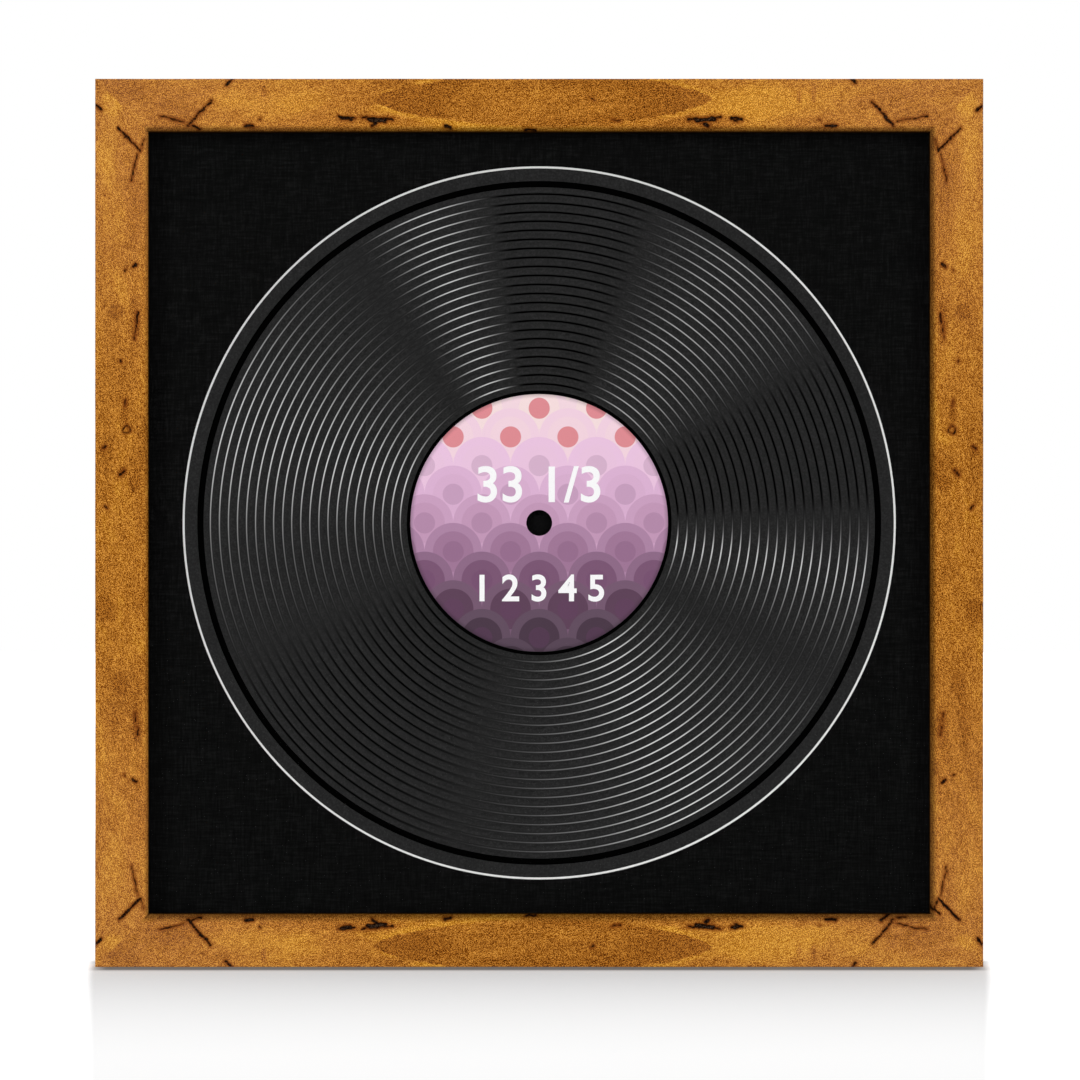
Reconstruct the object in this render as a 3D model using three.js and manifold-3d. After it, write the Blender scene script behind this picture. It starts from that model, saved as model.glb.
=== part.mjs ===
// A square wooden wall frame for a 12 inch record, as the separate pieces it comes apart into.
// Millimetres, +Z up. The front faces -Y. The origin is under the middle of the frame, on the surface it stands on.
import * as THREE from "three";
import { mergeVertices } from "three/addons/utils/BufferGeometryUtils.js";
import Module from "manifold-3d";

const wasm = await Module();
wasm.setup();

// The record
const record_radius = 150.8;
const record_thickness = 2.2;
const record_edge_chamfer = 0.5;
const spindle_hole_radius = 5.4;
const label_radius = 53.9;
const label_thickness = 0.2;
const label_ring_gap = 0.1;
const label_ring_width = 1.4;
const groove_count = 22;
const groove_pitch = 3.784;
const groove_width = 1.2;
const groove_depth = 0.4;
const inner_groove_radius = 58.3;
const rim_band_inner_radius = 140.5;
const rim_band_width = 2.6;
const rim_band_depth = 0.5;

// The mat and its round window, cut with a bevel
const window_overlap = 2.2;
const mat_core_thickness = 0.8;
const mat_paper_thickness = 0.2;
const bevel_slope_share = 1.0;
const mat_margin = 13.6;

// The sheets behind the mat, and the clear sheet in front of it
const glazing_thickness = 2.0;
const record_play = 0.3;
const record_well_clearance = 0.5;
const filler_thickness = 3.6;
const backing_thickness = 3.0;
const sheet_clearance = 0.5;

// The wooden rails
const rail_face_width = 22.4;
const rabbet_width = 6.0;
const lip_thickness = 6.4;
const backing_recess = 0.3;
const sight_edge_radius = 2.0;
const outer_edge_radius = 0.8;
const glue_line = 0.2;

// The turn buttons and their screws
const buttons_per_rail = 2;
const button_spacing = 190.0;
const button_reach = 16.0;
const button_head_radius = 4.6;
const button_tip_radius = 3.2;
const button_thickness = 1.0;
const button_running_gap = 0.15;
const screw_shank_radius = 1.5;
const screw_length = 10.0;
const screw_point_length = 2.4;
const screw_head_radius = 3.0;
const screw_head_rim = 0.6;
const screw_head_height = 1.6;
const dome_radius_share = 0.7;
const dome_height_share = 0.85;
const screw_recess_length = 3.2;
const screw_recess_width = 0.7;
const screw_recess_depth = 0.9;
const fastener_clearance = 0.3;

// The V nails across each mitre
const v_nail_leg = 7.0;
const v_nail_gauge = 0.6;
const v_nail_depth = 10.0;
const v_nail_setback = 4.0;
const v_nail_spacing = 5.0;

// The saw-tooth hanger, its nails and the bumpers
const hanger_length = 60.0;
const hanger_height = 9.0;
const hanger_gauge = 1.0;
const hanger_foot = 8.0;
const hanger_ramp = 4.0;
const tooth_pitch = 3.0;
const tooth_depth = 2.0;
const nail_shank_radius = 0.8;
const nail_length = 9.0;
const nail_point_length = 1.6;
const nail_head_radius = 1.8;
const nail_head_height = 0.7;
const bumper_radius = 5.0;
const bumper_thickness = 3.5;
const bumper_edge = 0.7;
const bumper_inset = 8.0;

// Cutting tools run past what they cut by this much
const cut_overrun = 1.0;

// How many flat sides stand for a full circle
const record_sides = 48;
const fastener_sides = 12;
const bumper_sides = 24;
const edge_arc_sides = 5;
const outline_arc_sides = 6;

// Depths are measured back from the front face of the rails
const mat_thickness = mat_paper_thickness + mat_core_thickness;
const carrier_thickness = record_thickness + label_thickness + record_play;
const glazing_depth = lip_thickness;
const mat_depth = glazing_depth + glazing_thickness;
const mat_core_depth = mat_depth + mat_paper_thickness;
const record_depth = mat_depth + mat_thickness;
const filler_depth = record_depth + carrier_thickness;
const backing_depth = filler_depth + filler_thickness;
const rail_depth = backing_depth + backing_thickness + backing_recess;
const overall_depth = rail_depth + bumper_thickness;
const button_depth = rail_depth + button_running_gap;
const screw_head_depth = button_depth + button_thickness + button_running_gap;
const screw_in_wood = screw_length - (screw_head_depth - rail_depth);

// Half widths are measured from the middle of the window
const window_back_radius = record_radius - window_overlap;
const window_face_radius = windowRadius(mat_core_depth);
const sight_half = window_face_radius + mat_margin;
const outer_half = sight_half + rail_face_width;
const rabbet_half = sight_half + rabbet_width;
const sheet_half = rabbet_half - sheet_clearance;
const rail_back_width = rail_face_width - rabbet_width;
const pivot_half = outer_half - rail_back_width / 2;

const materials = {
  wood: finish(0xb8752c, 0.55, 0),
  clear: finish(0xf2f6f8, 0.05, 0),
  black_paper: finish(0x0c0c0c, 0.9, 0),
  white_core: finish(0xe6e6e2, 0.85, 0),
  vinyl: finish(0x242424, 0.3, 0),
  label: finish(0xb287ab, 0.7, 0),
  foam_board: finish(0xe9e7e0, 0.9, 0),
  foam: finish(0x3a3a3c, 0.95, 0),
  hardboard: finish(0x6b4a30, 0.8, 0),
  zinc: finish(0xb9bcc0, 0.35, 1),
  brass: finish(0xc49a4a, 0.35, 1),
  rubber: finish(0x26262a, 0.85, 0),
};
materials.clear.transparent = true;
materials.clear.opacity = 0.15;

function finish(color, roughness, metalness) {
  return new THREE.MeshStandardMaterial({ color, roughness, metalness });
}

// The bevelled window narrows towards the record
function windowRadius(depth) {
  return window_back_radius + (record_depth - depth) * bevel_slope_share;
}

// Where a depth behind the front face lies along Y
function atDepth(depth) {
  return depth - overall_depth / 2;
}

function solidFrom(geometry) {
  const bare = geometry.clone();
  bare.deleteAttribute("normal");
  bare.deleteAttribute("uv");
  const merged = mergeVertices(bare);
  return new wasm.Manifold(
    new wasm.Mesh({
      numProp: 3,
      vertProperties: merged.attributes.position.array,
      triVerts: new Uint32Array(merged.index.array),
    }),
  );
}

function geometryFrom(solid) {
  const mesh = solid.getMesh();
  const geometry = new THREE.BufferGeometry();
  geometry.setAttribute("position", new THREE.BufferAttribute(mesh.vertProperties, 3));
  geometry.setIndex(new THREE.BufferAttribute(mesh.triVerts, 1));
  return geometry;
}

function cut(geometry, tools) {
  return geometryFrom(
    tools.reduce((left, tool) => left.subtract(solidFrom(tool)), solidFrom(geometry)),
  );
}

function named(name, geometry, material) {
  const mesh = new THREE.Mesh(geometry, material);
  mesh.name = name;
  return mesh;
}

// A flat outline drawn in X and Z, given a thickness from one depth to a deeper one
function plate(outline, depth, thickness, arc_sides = outline_arc_sides) {
  const geometry = new THREE.ExtrudeGeometry(outline, {
    depth: thickness,
    bevelEnabled: false,
    curveSegments: arc_sides,
  });
  geometry.rotateX(Math.PI / 2);
  return geometry.translate(0, atDepth(depth) + thickness, 0);
}

function polygon(points) {
  return new THREE.Shape(points.map(([x, z]) => new THREE.Vector2(x, z)));
}

// A square sheet that fills the rabbet
function sheet(depth, thickness) {
  const corners = [
    [-sheet_half, -sheet_half],
    [sheet_half, -sheet_half],
    [sheet_half, sheet_half],
    [-sheet_half, sheet_half],
  ];
  return plate(polygon(corners), depth, thickness);
}

// A round tool or peg about Y, from one depth to a deeper one
function round(front_radius, back_radius, front_depth, back_depth, sides) {
  const length = back_depth - front_depth;
  const geometry = new THREE.CylinderGeometry(back_radius, front_radius, length, sides);
  return geometry.translate(0, atDepth(front_depth) + length / 2, 0);
}

// A solid turned about Y from radius and depth pairs, outwards along the front and back along the rear
function turned(profile, sides) {
  const points = profile.map(([radius, depth]) => new THREE.Vector2(radius, atDepth(depth)));
  return new THREE.LatheGeometry(points, sides);
}

// The bevelled window that goes through one layer of the mat
function windowTool(depth, thickness) {
  const front = depth - cut_overrun;
  const back = depth + thickness + cut_overrun;
  return round(windowRadius(front), windowRadius(back), front, back, record_sides);
}

function matLayer(name, depth, thickness, material) {
  return named(name, cut(sheet(depth, thickness), [windowTool(depth, thickness)]), material);
}

// The front of the disc from its label outwards: ring round the label, sound grooves, black band
function discFront() {
  const points = [];
  const notch = (middle, width, depth) => {
    points.push([middle - width / 2, record_depth]);
    points.push([middle, record_depth + depth]);
    points.push([middle + width / 2, record_depth]);
  };
  notch(label_radius + label_ring_gap + label_ring_width / 2, label_ring_width, groove_depth);
  for (let ring = 0; ring < groove_count; ring += 1) {
    notch(inner_groove_radius + ring * groove_pitch, groove_width, groove_depth);
  }
  const band_outer = rim_band_inner_radius + rim_band_width;
  points.push([rim_band_inner_radius, record_depth]);
  points.push([rim_band_inner_radius + rim_band_depth, record_depth + rim_band_depth]);
  points.push([band_outer - rim_band_depth, record_depth + rim_band_depth]);
  points.push([band_outer, record_depth]);
  return points;
}

function recordDisc() {
  const back = record_depth + record_thickness;
  const profile = [
    [spindle_hole_radius, record_depth],
    ...discFront(),
    [record_radius - record_edge_chamfer, record_depth],
    [record_radius, record_depth + record_edge_chamfer],
    [record_radius, back - record_edge_chamfer],
    [record_radius - record_edge_chamfer, back],
    [spindle_hole_radius, back],
    [spindle_hole_radius, record_depth],
  ];
  return named("record_disc", turned(profile, record_sides), materials.vinyl);
}

function recordLabel(name, front) {
  const back = front + label_thickness;
  const profile = [
    [spindle_hole_radius, front],
    [label_radius, front],
    [label_radius, back],
    [spindle_hole_radius, back],
    [spindle_hole_radius, front],
  ];
  return named(name, turned(profile, record_sides), materials.label);
}

function recordCarrier() {
  const well = round(
    record_radius + record_well_clearance,
    record_radius + record_well_clearance,
    record_depth - cut_overrun,
    filler_depth + cut_overrun,
    record_sides,
  );
  return named(
    "record_carrier",
    cut(sheet(record_depth, carrier_thickness), [well]),
    materials.foam_board,
  );
}

// The rail's cross-section in depth and height above the middle of the window
function railSection() {
  const front = atDepth(0);
  const back = atDepth(rail_depth);
  const lip_back = atDepth(lip_thickness);
  const section = new THREE.Shape();
  section.moveTo(back, outer_half);
  section.lineTo(front + outer_edge_radius, outer_half);
  section.absarc(
    front + outer_edge_radius,
    outer_half - outer_edge_radius,
    outer_edge_radius,
    Math.PI / 2,
    Math.PI,
    false,
  );
  section.lineTo(front, sight_half + sight_edge_radius);
  section.absarc(
    front + sight_edge_radius,
    sight_half + sight_edge_radius,
    sight_edge_radius,
    Math.PI,
    (Math.PI * 3) / 2,
    false,
  );
  section.lineTo(lip_back, sight_half);
  section.lineTo(lip_back, rabbet_half);
  section.lineTo(back, rabbet_half);
  return section;
}

// The section run along X between two mitres, so each point's reach follows its height
function railBlank() {
  const geometry = new THREE.ExtrudeGeometry(railSection(), {
    depth: 1,
    bevelEnabled: false,
    curveSegments: edge_arc_sides,
  });
  const position = geometry.attributes.position;
  for (let i = 0; i < position.count; i += 1) {
    const depth = position.getX(i);
    const height = position.getY(i);
    const side = position.getZ(i) > 0 ? 1 : -1;
    position.setXYZ(i, side * (height - glue_line / Math.SQRT2), depth, height);
  }
  return geometry;
}

function buttonPlaces() {
  const places = [];
  for (let i = 0; i < buttons_per_rail; i += 1) {
    places.push((i - (buttons_per_rail - 1) / 2) * button_spacing);
  }
  return places;
}

function hangerNailPlaces() {
  const offset = hanger_length / 2 - hanger_foot / 2;
  return [-offset, offset];
}

function boreFor(shank_radius, length, x) {
  const radius = shank_radius + fastener_clearance;
  const bottom = rail_depth - length - fastener_clearance;
  const bore = round(radius, radius, bottom, rail_depth + cut_overrun, fastener_sides);
  return bore.translate(x, 0, pivot_half);
}

// The V lies with a leg along each rail and its corner on the mitre
function vOutline(corner, margin) {
  const outer = corner + margin;
  const inner = corner - v_nail_gauge - margin;
  const end = corner - v_nail_leg - margin;
  return polygon([
    [outer, outer],
    [end, outer],
    [end, inner],
    [inner, inner],
    [inner, end],
    [outer, end],
  ]);
}

function vNailCorners() {
  const first = outer_half - v_nail_setback;
  return [first, first - v_nail_spacing];
}

function vNailGeometry(corner) {
  return plate(vOutline(corner, 0), rail_depth - v_nail_depth, v_nail_depth);
}

function vNailSlot(corner, mirrored) {
  const depth = rail_depth - v_nail_depth - fastener_clearance;
  const slot = plate(vOutline(corner, fastener_clearance), depth, rail_depth + cut_overrun - depth);
  return mirrored ? slot.rotateY(-Math.PI / 2) : slot;
}

function rail(name, bores) {
  const slots = vNailCorners().flatMap((corner) => [
    vNailSlot(corner, false),
    vNailSlot(corner, true),
  ]);
  const screws = buttonPlaces().map((x) => boreFor(screw_shank_radius, screw_in_wood, x));
  return named(name, cut(railBlank(), [...slots, ...screws, ...bores]), materials.wood);
}

// Pivot at the round head, tip towards the middle of the frame, drawn for the top rail
function turnButton(name) {
  const tip = button_reach - button_tip_radius;
  const lean = Math.asin((button_head_radius - button_tip_radius) / tip);
  const outline = new THREE.Shape();
  outline.absarc(0, 0, button_head_radius, -lean, Math.PI + lean, false);
  outline.absarc(0, -tip, button_tip_radius, Math.PI + lean, Math.PI * 2 - lean, false);
  const hole = new THREE.Path();
  hole.absarc(0, 0, screw_shank_radius + fastener_clearance, 0, Math.PI * 2, true);
  outline.holes.push(hole);
  return named(name, plate(outline, button_depth, button_thickness), materials.zinc);
}

function buttonScrew(name) {
  const head = screw_head_depth;
  const point = head - screw_length;
  const profile = [
    [0, point],
    [screw_shank_radius, point + screw_point_length],
    [screw_shank_radius, head],
    [screw_head_radius, head],
    [screw_head_radius, head + screw_head_rim],
    [screw_head_radius * dome_radius_share, head + screw_head_height * dome_height_share],
    [0, head + screw_head_height],
  ];
  const recess = [0, Math.PI / 2].map((angle) => {
    const box = new THREE.BoxGeometry(
      screw_recess_length,
      screw_recess_depth + cut_overrun,
      screw_recess_width,
    );
    const middle = head + screw_head_height + (cut_overrun - screw_recess_depth) / 2;
    return box.rotateY(angle).translate(0, atDepth(middle), 0);
  });
  return named(name, cut(turned(profile, fastener_sides), recess), materials.zinc);
}

// The bent strip, drawn from above: two feet on the wood and a raised middle
function hangerStrip() {
  const foot = rail_depth;
  const raised = overall_depth - hanger_gauge;
  const end = hanger_length / 2;
  const bend = end - hanger_foot;
  const top = bend - hanger_ramp;
  const half = [
    [end, foot],
    [bend, foot],
    [top, raised],
  ];
  const inner = [...half, ...half.map(([x, depth]) => [-x, depth]).reverse()];
  const outer = inner.map(([x, depth]) => [x, depth + hanger_gauge]).reverse();
  const points = [...inner, ...outer].map(([x, depth]) => [x, atDepth(depth)]);
  const geometry = new THREE.ExtrudeGeometry(polygon(points), {
    depth: hanger_height,
    bevelEnabled: false,
  });
  return geometry.translate(0, 0, pivot_half - hanger_height / 2);
}

// One zigzag tool cuts every tooth from the raised middle's lower edge
function toothTool() {
  const raised_length = hanger_length - 2 * (hanger_foot + hanger_ramp);
  const count = Math.floor(raised_length / tooth_pitch);
  const low = pivot_half - hanger_height / 2;
  const points = [];
  for (let i = 0; i < count; i += 1) {
    const x = (i - count / 2) * tooth_pitch;
    points.push([x, low]);
    points.push([x + tooth_pitch / 2, low + tooth_depth]);
  }
  points.push([(count / 2) * tooth_pitch, low]);
  points.push([(count / 2) * tooth_pitch, low - cut_overrun]);
  points.push([(-count / 2) * tooth_pitch, low - cut_overrun]);
  return plate(polygon(points), rail_depth, bumper_thickness + cut_overrun);
}

function hanger() {
  const radius = nail_shank_radius + fastener_clearance;
  const holes = hangerNailPlaces().map((x) =>
    round(
      radius,
      radius,
      rail_depth - cut_overrun,
      rail_depth + hanger_gauge + cut_overrun,
      fastener_sides,
    ).translate(x, 0, pivot_half),
  );
  return named("hanger", cut(hangerStrip(), [toothTool(), ...holes]), materials.brass);
}

function hangerNail(name) {
  const head = rail_depth + hanger_gauge;
  const point = head - nail_length;
  const profile = [
    [0, point],
    [nail_shank_radius, point + nail_point_length],
    [nail_shank_radius, head],
    [nail_head_radius, head],
    [nail_head_radius, head + nail_head_height / 2],
    [nail_head_radius / 2, head + nail_head_height],
    [0, head + nail_head_height],
  ];
  return named(name, turned(profile, fastener_sides), materials.brass);
}

function bumper(name) {
  const profile = [
    [0, rail_depth],
    [bumper_radius, rail_depth],
    [bumper_radius, overall_depth - bumper_edge],
    [bumper_radius - bumper_edge, overall_depth],
    [0, overall_depth],
  ];
  return named(name, turned(profile, bumper_sides), materials.rubber);
}

// A rail with all it carries and the V nails at its far corner, drawn for the top rail and turned
function side(name, corner_name, quarter_turns, bores = []) {
  const group = new THREE.Group();
  group.rotation.y = (quarter_turns * Math.PI) / 2;
  group.add(rail("rail_" + name, bores));
  buttonPlaces().forEach((x, i) => {
    const button = turnButton("turn_button_" + name + "_" + (i + 1));
    const screw = buttonScrew("button_screw_" + name + "_" + (i + 1));
    for (const piece of [button, screw]) {
      piece.position.set(x, 0, pivot_half);
      group.add(piece);
    }
  });
  vNailCorners().forEach((corner, i) => {
    const nail = vNailGeometry(corner);
    group.add(named("v_nail_" + corner_name + "_" + (i + 1), nail, materials.zinc));
  });
  return group;
}

function hangingSet() {
  const group = new THREE.Group();
  group.add(hanger());
  hangerNailPlaces().forEach((x, i) => {
    const nail = hangerNail("hanger_nail_" + (i + 1));
    nail.position.set(x, 0, pivot_half);
    group.add(nail);
  });
  return group;
}

function bumperPair() {
  const group = new THREE.Group();
  for (const [name, way] of [
    ["left", -1],
    ["right", 1],
  ]) {
    const piece = bumper("bumper_" + name);
    piece.position.set(way * (outer_half - bumper_inset), 0, bumper_inset - outer_half);
    group.add(piece);
  }
  return group;
}

function contents() {
  const group = new THREE.Group();
  group.add(named("glazing", sheet(glazing_depth, glazing_thickness), materials.clear));
  group.add(
    matLayer("mat_face_paper", mat_depth, mat_paper_thickness, materials.black_paper),
    matLayer("mat_core", mat_core_depth, mat_core_thickness, materials.white_core),
  );
  group.add(recordDisc());
  group.add(recordLabel("record_label_front", record_depth - label_thickness));
  group.add(recordLabel("record_label_back", record_depth + record_thickness));
  group.add(recordCarrier());
  group.add(named("foam_filler", sheet(filler_depth, filler_thickness), materials.foam));
  group.add(named("backing_board", sheet(backing_depth, backing_thickness), materials.hardboard));
  return group;
}

const hanger_bores = hangerNailPlaces().map((x) =>
  boreFor(nail_shank_radius, nail_length - hanger_gauge, x),
);

const frame = new THREE.Group();
frame.add(side("top", "top_right", 0, hanger_bores));
frame.add(side("right", "bottom_right", 1));
frame.add(side("bottom", "bottom_left", 2));
frame.add(side("left", "top_left", 3));
frame.add(hangingSet());
frame.add(bumperPair());
frame.add(contents());
frame.position.z = outer_half;

const part = new THREE.Group();
part.add(frame);

export default part;
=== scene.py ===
import math

import bmesh
import bpy
import numpy as np
from mathutils import Matrix, Vector

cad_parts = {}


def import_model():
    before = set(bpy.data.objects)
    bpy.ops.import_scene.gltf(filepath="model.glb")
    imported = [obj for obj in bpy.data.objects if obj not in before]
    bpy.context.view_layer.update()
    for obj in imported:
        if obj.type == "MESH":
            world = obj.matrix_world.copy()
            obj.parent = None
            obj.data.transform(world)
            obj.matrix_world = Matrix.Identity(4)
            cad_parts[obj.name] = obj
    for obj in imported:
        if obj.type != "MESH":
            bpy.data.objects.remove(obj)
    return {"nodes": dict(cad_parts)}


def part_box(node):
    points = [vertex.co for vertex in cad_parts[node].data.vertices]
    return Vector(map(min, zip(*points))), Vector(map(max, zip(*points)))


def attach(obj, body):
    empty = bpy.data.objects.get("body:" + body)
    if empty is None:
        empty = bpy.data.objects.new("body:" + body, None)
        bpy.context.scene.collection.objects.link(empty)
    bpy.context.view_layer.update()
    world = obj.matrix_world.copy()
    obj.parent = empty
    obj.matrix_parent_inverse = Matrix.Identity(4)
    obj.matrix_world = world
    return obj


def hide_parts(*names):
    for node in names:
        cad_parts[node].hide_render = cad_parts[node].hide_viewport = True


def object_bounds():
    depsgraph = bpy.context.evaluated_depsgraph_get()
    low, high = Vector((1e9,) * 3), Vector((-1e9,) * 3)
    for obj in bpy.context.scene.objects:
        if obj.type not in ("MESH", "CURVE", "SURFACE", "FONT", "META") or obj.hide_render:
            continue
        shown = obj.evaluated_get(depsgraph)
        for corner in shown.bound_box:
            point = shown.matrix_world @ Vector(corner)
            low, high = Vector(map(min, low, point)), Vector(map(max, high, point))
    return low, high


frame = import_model()
cad_low, cad_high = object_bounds()

MM = 0.001
SIDES = ("top", "right", "bottom", "left")
CORNERS = ("top_right", "bottom_right", "bottom_left", "top_left")

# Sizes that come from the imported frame
CENTRE = Vector((0.0, 0.0, (cad_low.z + cad_high.z) / 2))
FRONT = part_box("rail_top")[0].y
RAIL_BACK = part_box("rail_top")[1].y
OUTER_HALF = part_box("rail_top")[1].x
SIGHT_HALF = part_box("rail_top")[0].z - CENTRE.z
FACE_WIDTH = OUTER_HALF - SIGHT_HALF
GLAZING_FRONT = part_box("glazing")[0].y
SHEET_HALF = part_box("glazing")[1].x

# The rails
SHEET_CLEARANCE = 0.5 * MM
OUTER_EDGE_RADIUS = 0.8 * MM
SIGHT_EDGE_RADIUS = 2.0 * MM
MITRE_GAP = 0.004 * MM
FACE_STEP = 0.56 * MM
STATION_STEP = 0.58 * MM
SIDE_STEP = 1.6 * MM
BACK_STEP = 3.2 * MM
EDGE_ARC_STEPS = 4
SIGHT_ARC_STEPS = 8
MARK_DEPTH = 0.6 * MM
MARK_SOFTNESS = 0.5 * MM
MARK_REACH = 3.0 * MM
FACE_UNEVENNESS = 0.06 * MM

# The painted shade at the sight edge of each rail: where it ends on the face, the length over which it grows
# from nothing to full, how strong it gets at most, and the last stretch over which it turns black
SIGHT_SHADES = {
    "top": (2.9 * MM, 2.6 * MM, 0.60, 0.8 * MM),
    "right": (2.95 * MM, 2.7 * MM, 0.67, 0.2 * MM),
    "bottom": (3.6 * MM, 3.6 * MM, 0.66, 0.4 * MM),
    "left": (1.95 * MM, 5.5 * MM, 0.34, 0.2 * MM),
}
# How dark the painted shade is on the lip inside the sight edge, near black
LIP_SHADE = 0.97
STAIN_OVERRUN = 2.5 * MM

# How wide the cracks and knots are
HAIR = 0.36 * MM
SLIT = 0.7 * MM
CRACK = 0.95 * MM
PIT = 1.1 * MM
BURL = 1.35 * MM
KNOT = 1.7 * MM

# Cracks and knots of the upper rail, each a stroke from one place to another. A place is a share of the
# frame's half width, to the right of the middle, and a share of the face width, in from the outer edge.
TOP_STROKE_SHARES = [
    (-0.791, 0.884, -0.768, 0.67, CRACK),
    (-0.768, 0.67, -0.739, 0.418, CRACK),
    (-0.854, 0.698, -0.800, 0.81, HAIR),
    (-0.782, 0.884, -0.762, 0.94, SLIT),
    (-0.705, 0.12, -0.692, 0.0, CRACK),
    (-0.660, 0.884, -0.645, 0.89, BURL),
    (-0.630, 0.76, -0.626, 0.74, HAIR),
    (-0.445, 0.73, -0.425, 0.76, BURL),
    (-0.452, 0.71, -0.415, 0.74, SLIT),
    (-0.384, 0.76, -0.347, 0.79, KNOT),
    (-0.376, 0.88, -0.368, 0.84, PIT),
    (-0.398, 0.72, -0.330, 0.77, SLIT),
    (-0.212, 0.89, -0.200, 0.92, PIT),
    (-0.030, 0.965, -0.008, 0.975, SLIT),
    (0.118, 0.36, 0.124, 0.40, HAIR),
    (0.165, 0.772, 0.182, 0.79, HAIR),
    (0.355, 0.775, 0.392, 0.75, KNOT),
    (0.372, 0.84, 0.380, 0.88, BURL),
    (0.336, 0.76, 0.410, 0.72, SLIT),
    (0.432, 0.74, 0.456, 0.765, PIT),
    (0.440, 0.80, 0.446, 0.81, SLIT),
    (0.646, 0.895, 0.668, 0.89, PIT),
    (0.630, 0.77, 0.633, 0.78, HAIR),
    (0.750, 0.437, 0.775, 0.67, SLIT),
    (0.775, 0.67, 0.797, 0.884, CRACK),
    (0.806, 0.81, 0.874, 0.698, HAIR),
    (0.705, 0.0, 0.712, 0.09, CRACK),
]
BOTTOM_STROKE_SHARES = [
    (0.788, 1.0, 0.770, 0.86, SLIT),
    (0.806, 0.93, 0.824, 0.945, HAIR),
]

# The same for the left rail, with places to the top of the middle
LEFT_STROKE_SHARES = [
    (0.938, 0.03, 0.930, 0.12, CRACK),
    (0.888, 0.438, 0.838, 0.849, SLIT),
    (0.863, 0.914, 0.838, 0.849, HAIR),
    (0.831, 0.804, 0.800, 0.74, HAIR),
    (0.800, 0.74, 0.768, 0.681, HAIR),
    (0.582, 0.775, 0.576, 0.71, CRACK),
    (0.570, 0.58, 0.566, 0.55, HAIR),
    (0.473, 0.811, 0.450, 0.78, SLIT),
    (0.445, 0.77, 0.415, 0.737, HAIR),
    (0.365, 0.476, 0.362, 0.48, SLIT),
    (0.277, 0.569, 0.262, 0.575, HAIR),
    (0.172, 0.19, 0.168, 0.15, SLIT),
    (0.118, 0.54, 0.108, 0.47, SLIT),
    (0.037, 0.19, 0.032, 0.23, SLIT),
    (-0.426, 0.756, -0.446, 0.77, HAIR),
    (-0.458, 0.79, -0.478, 0.811, HAIR),
    (-0.578, 0.71, -0.584, 0.775, CRACK),
    (-0.566, 0.54, -0.570, 0.56, HAIR),
    (-0.773, 0.681, -0.838, 0.804, HAIR),
    (-0.845, 0.849, -0.894, 0.448, CRACK),
    (-0.845, 0.849, -0.869, 0.914, HAIR),
    (-0.937, 0.12, -0.948, 0.03, CRACK),
]
RIGHT_STROKE_SHARES = [
    (-0.861, 1.0, -0.882, 0.83, SLIT),
]
RING_KNOT_SHARES = (0.21, 0.588)
RING_KNOT_RADIUS = 1.5 * MM

# Lighter and darker patches of the wood: the middle, the half length, the half width and how much lighter
TOP_PATCH_SHARES = [
    (-0.60, 0.42, 0.15, 0.34, 0.75),
    (-0.20, 0.86, 0.20, 0.16, 0.7),
    (-0.33, 0.60, 0.07, 0.14, 0.8),
    (0.50, 0.50, 0.14, 0.50, 1.0),
    (0.66, 0.40, 0.10, 0.40, 0.4),
    (-0.93, 0.22, 0.06, 0.3, -0.8),
    (-0.83, 0.62, 0.07, 0.3, -0.9),
    (0.84, 0.68, 0.07, 0.26, -0.5),
    (-0.62, 0.22, 0.006, 0.16, -1.3),
    (0.618, 0.28, 0.006, 0.18, -1.3),
    (0.585, 0.35, 0.006, 0.15, -0.9),
    (-0.225, 0.27, 0.055, 0.035, -0.8),
    (0.24, 0.27, 0.05, 0.04, -0.7),
    (-0.36, 0.74, 0.05, 0.12, -0.6),
    (0.40, 0.78, 0.08, 0.14, -0.5),
    (0.16, 0.8, 0.1, 0.2, -0.3),
    (0.05, 0.1, 0.3, 0.1, -0.4),
    (0.1, 0.86, 0.75, 0.14, -0.35),
    (-0.316, 0.1, 0.05, 0.12, -0.8),
]
LEFT_PATCH_SHARES = [
    (0.945, 0.32, 0.03, 0.24, 1.3),
    (0.86, 0.25, 0.10, 0.25, 0.6),
    (0.70, 0.30, 0.14, 0.26, 0.35),
    (0.73, 0.72, 0.10, 0.2, -0.7),
    (0.05, 0.5, 0.6, 0.9, -0.25),
    (0.475, 0.385, 0.02, 0.14, -1.8),
    (0.45, 0.76, 0.06, 0.10, -1.3),
    (0.25, 0.569, 0.035, 0.07, -1.8),
    (0.16, 0.17, 0.012, 0.08, -1.7),
    (0.113, 0.504, 0.016, 0.1, -1.7),
    (0.088, 0.756, 0.02, 0.12, -1.5),
    (0.06, 0.4, 0.3, 0.4, 0.1),
    (0.13, 0.8, 0.045, 0.25, -0.8),
    (-0.198, 0.17, 0.03, 0.20, -1.6),
    (-0.363, 0.476, 0.03, 0.14, -1.6),
    (-0.455, 0.78, 0.05, 0.12, -1.4),
    (-0.45, 0.38, 0.06, 0.12, -0.6),
    (-0.55, 0.90, 0.02, 0.08, -0.6),
    (-0.80, 0.3, 0.10, 0.30, 0.4),
    (-0.945, 0.30, 0.022, 0.22, 1.0),
]

# Where along a rail its wood starts to turn ruddy and where it is so in full, and how its grain slants
RUDDY_FROM_SHARE = 0.15
RUDDY_BY_SHARE = 0.9
ALONG_SLANT = 0.4
ACROSS_SLANT = 0.7

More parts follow.
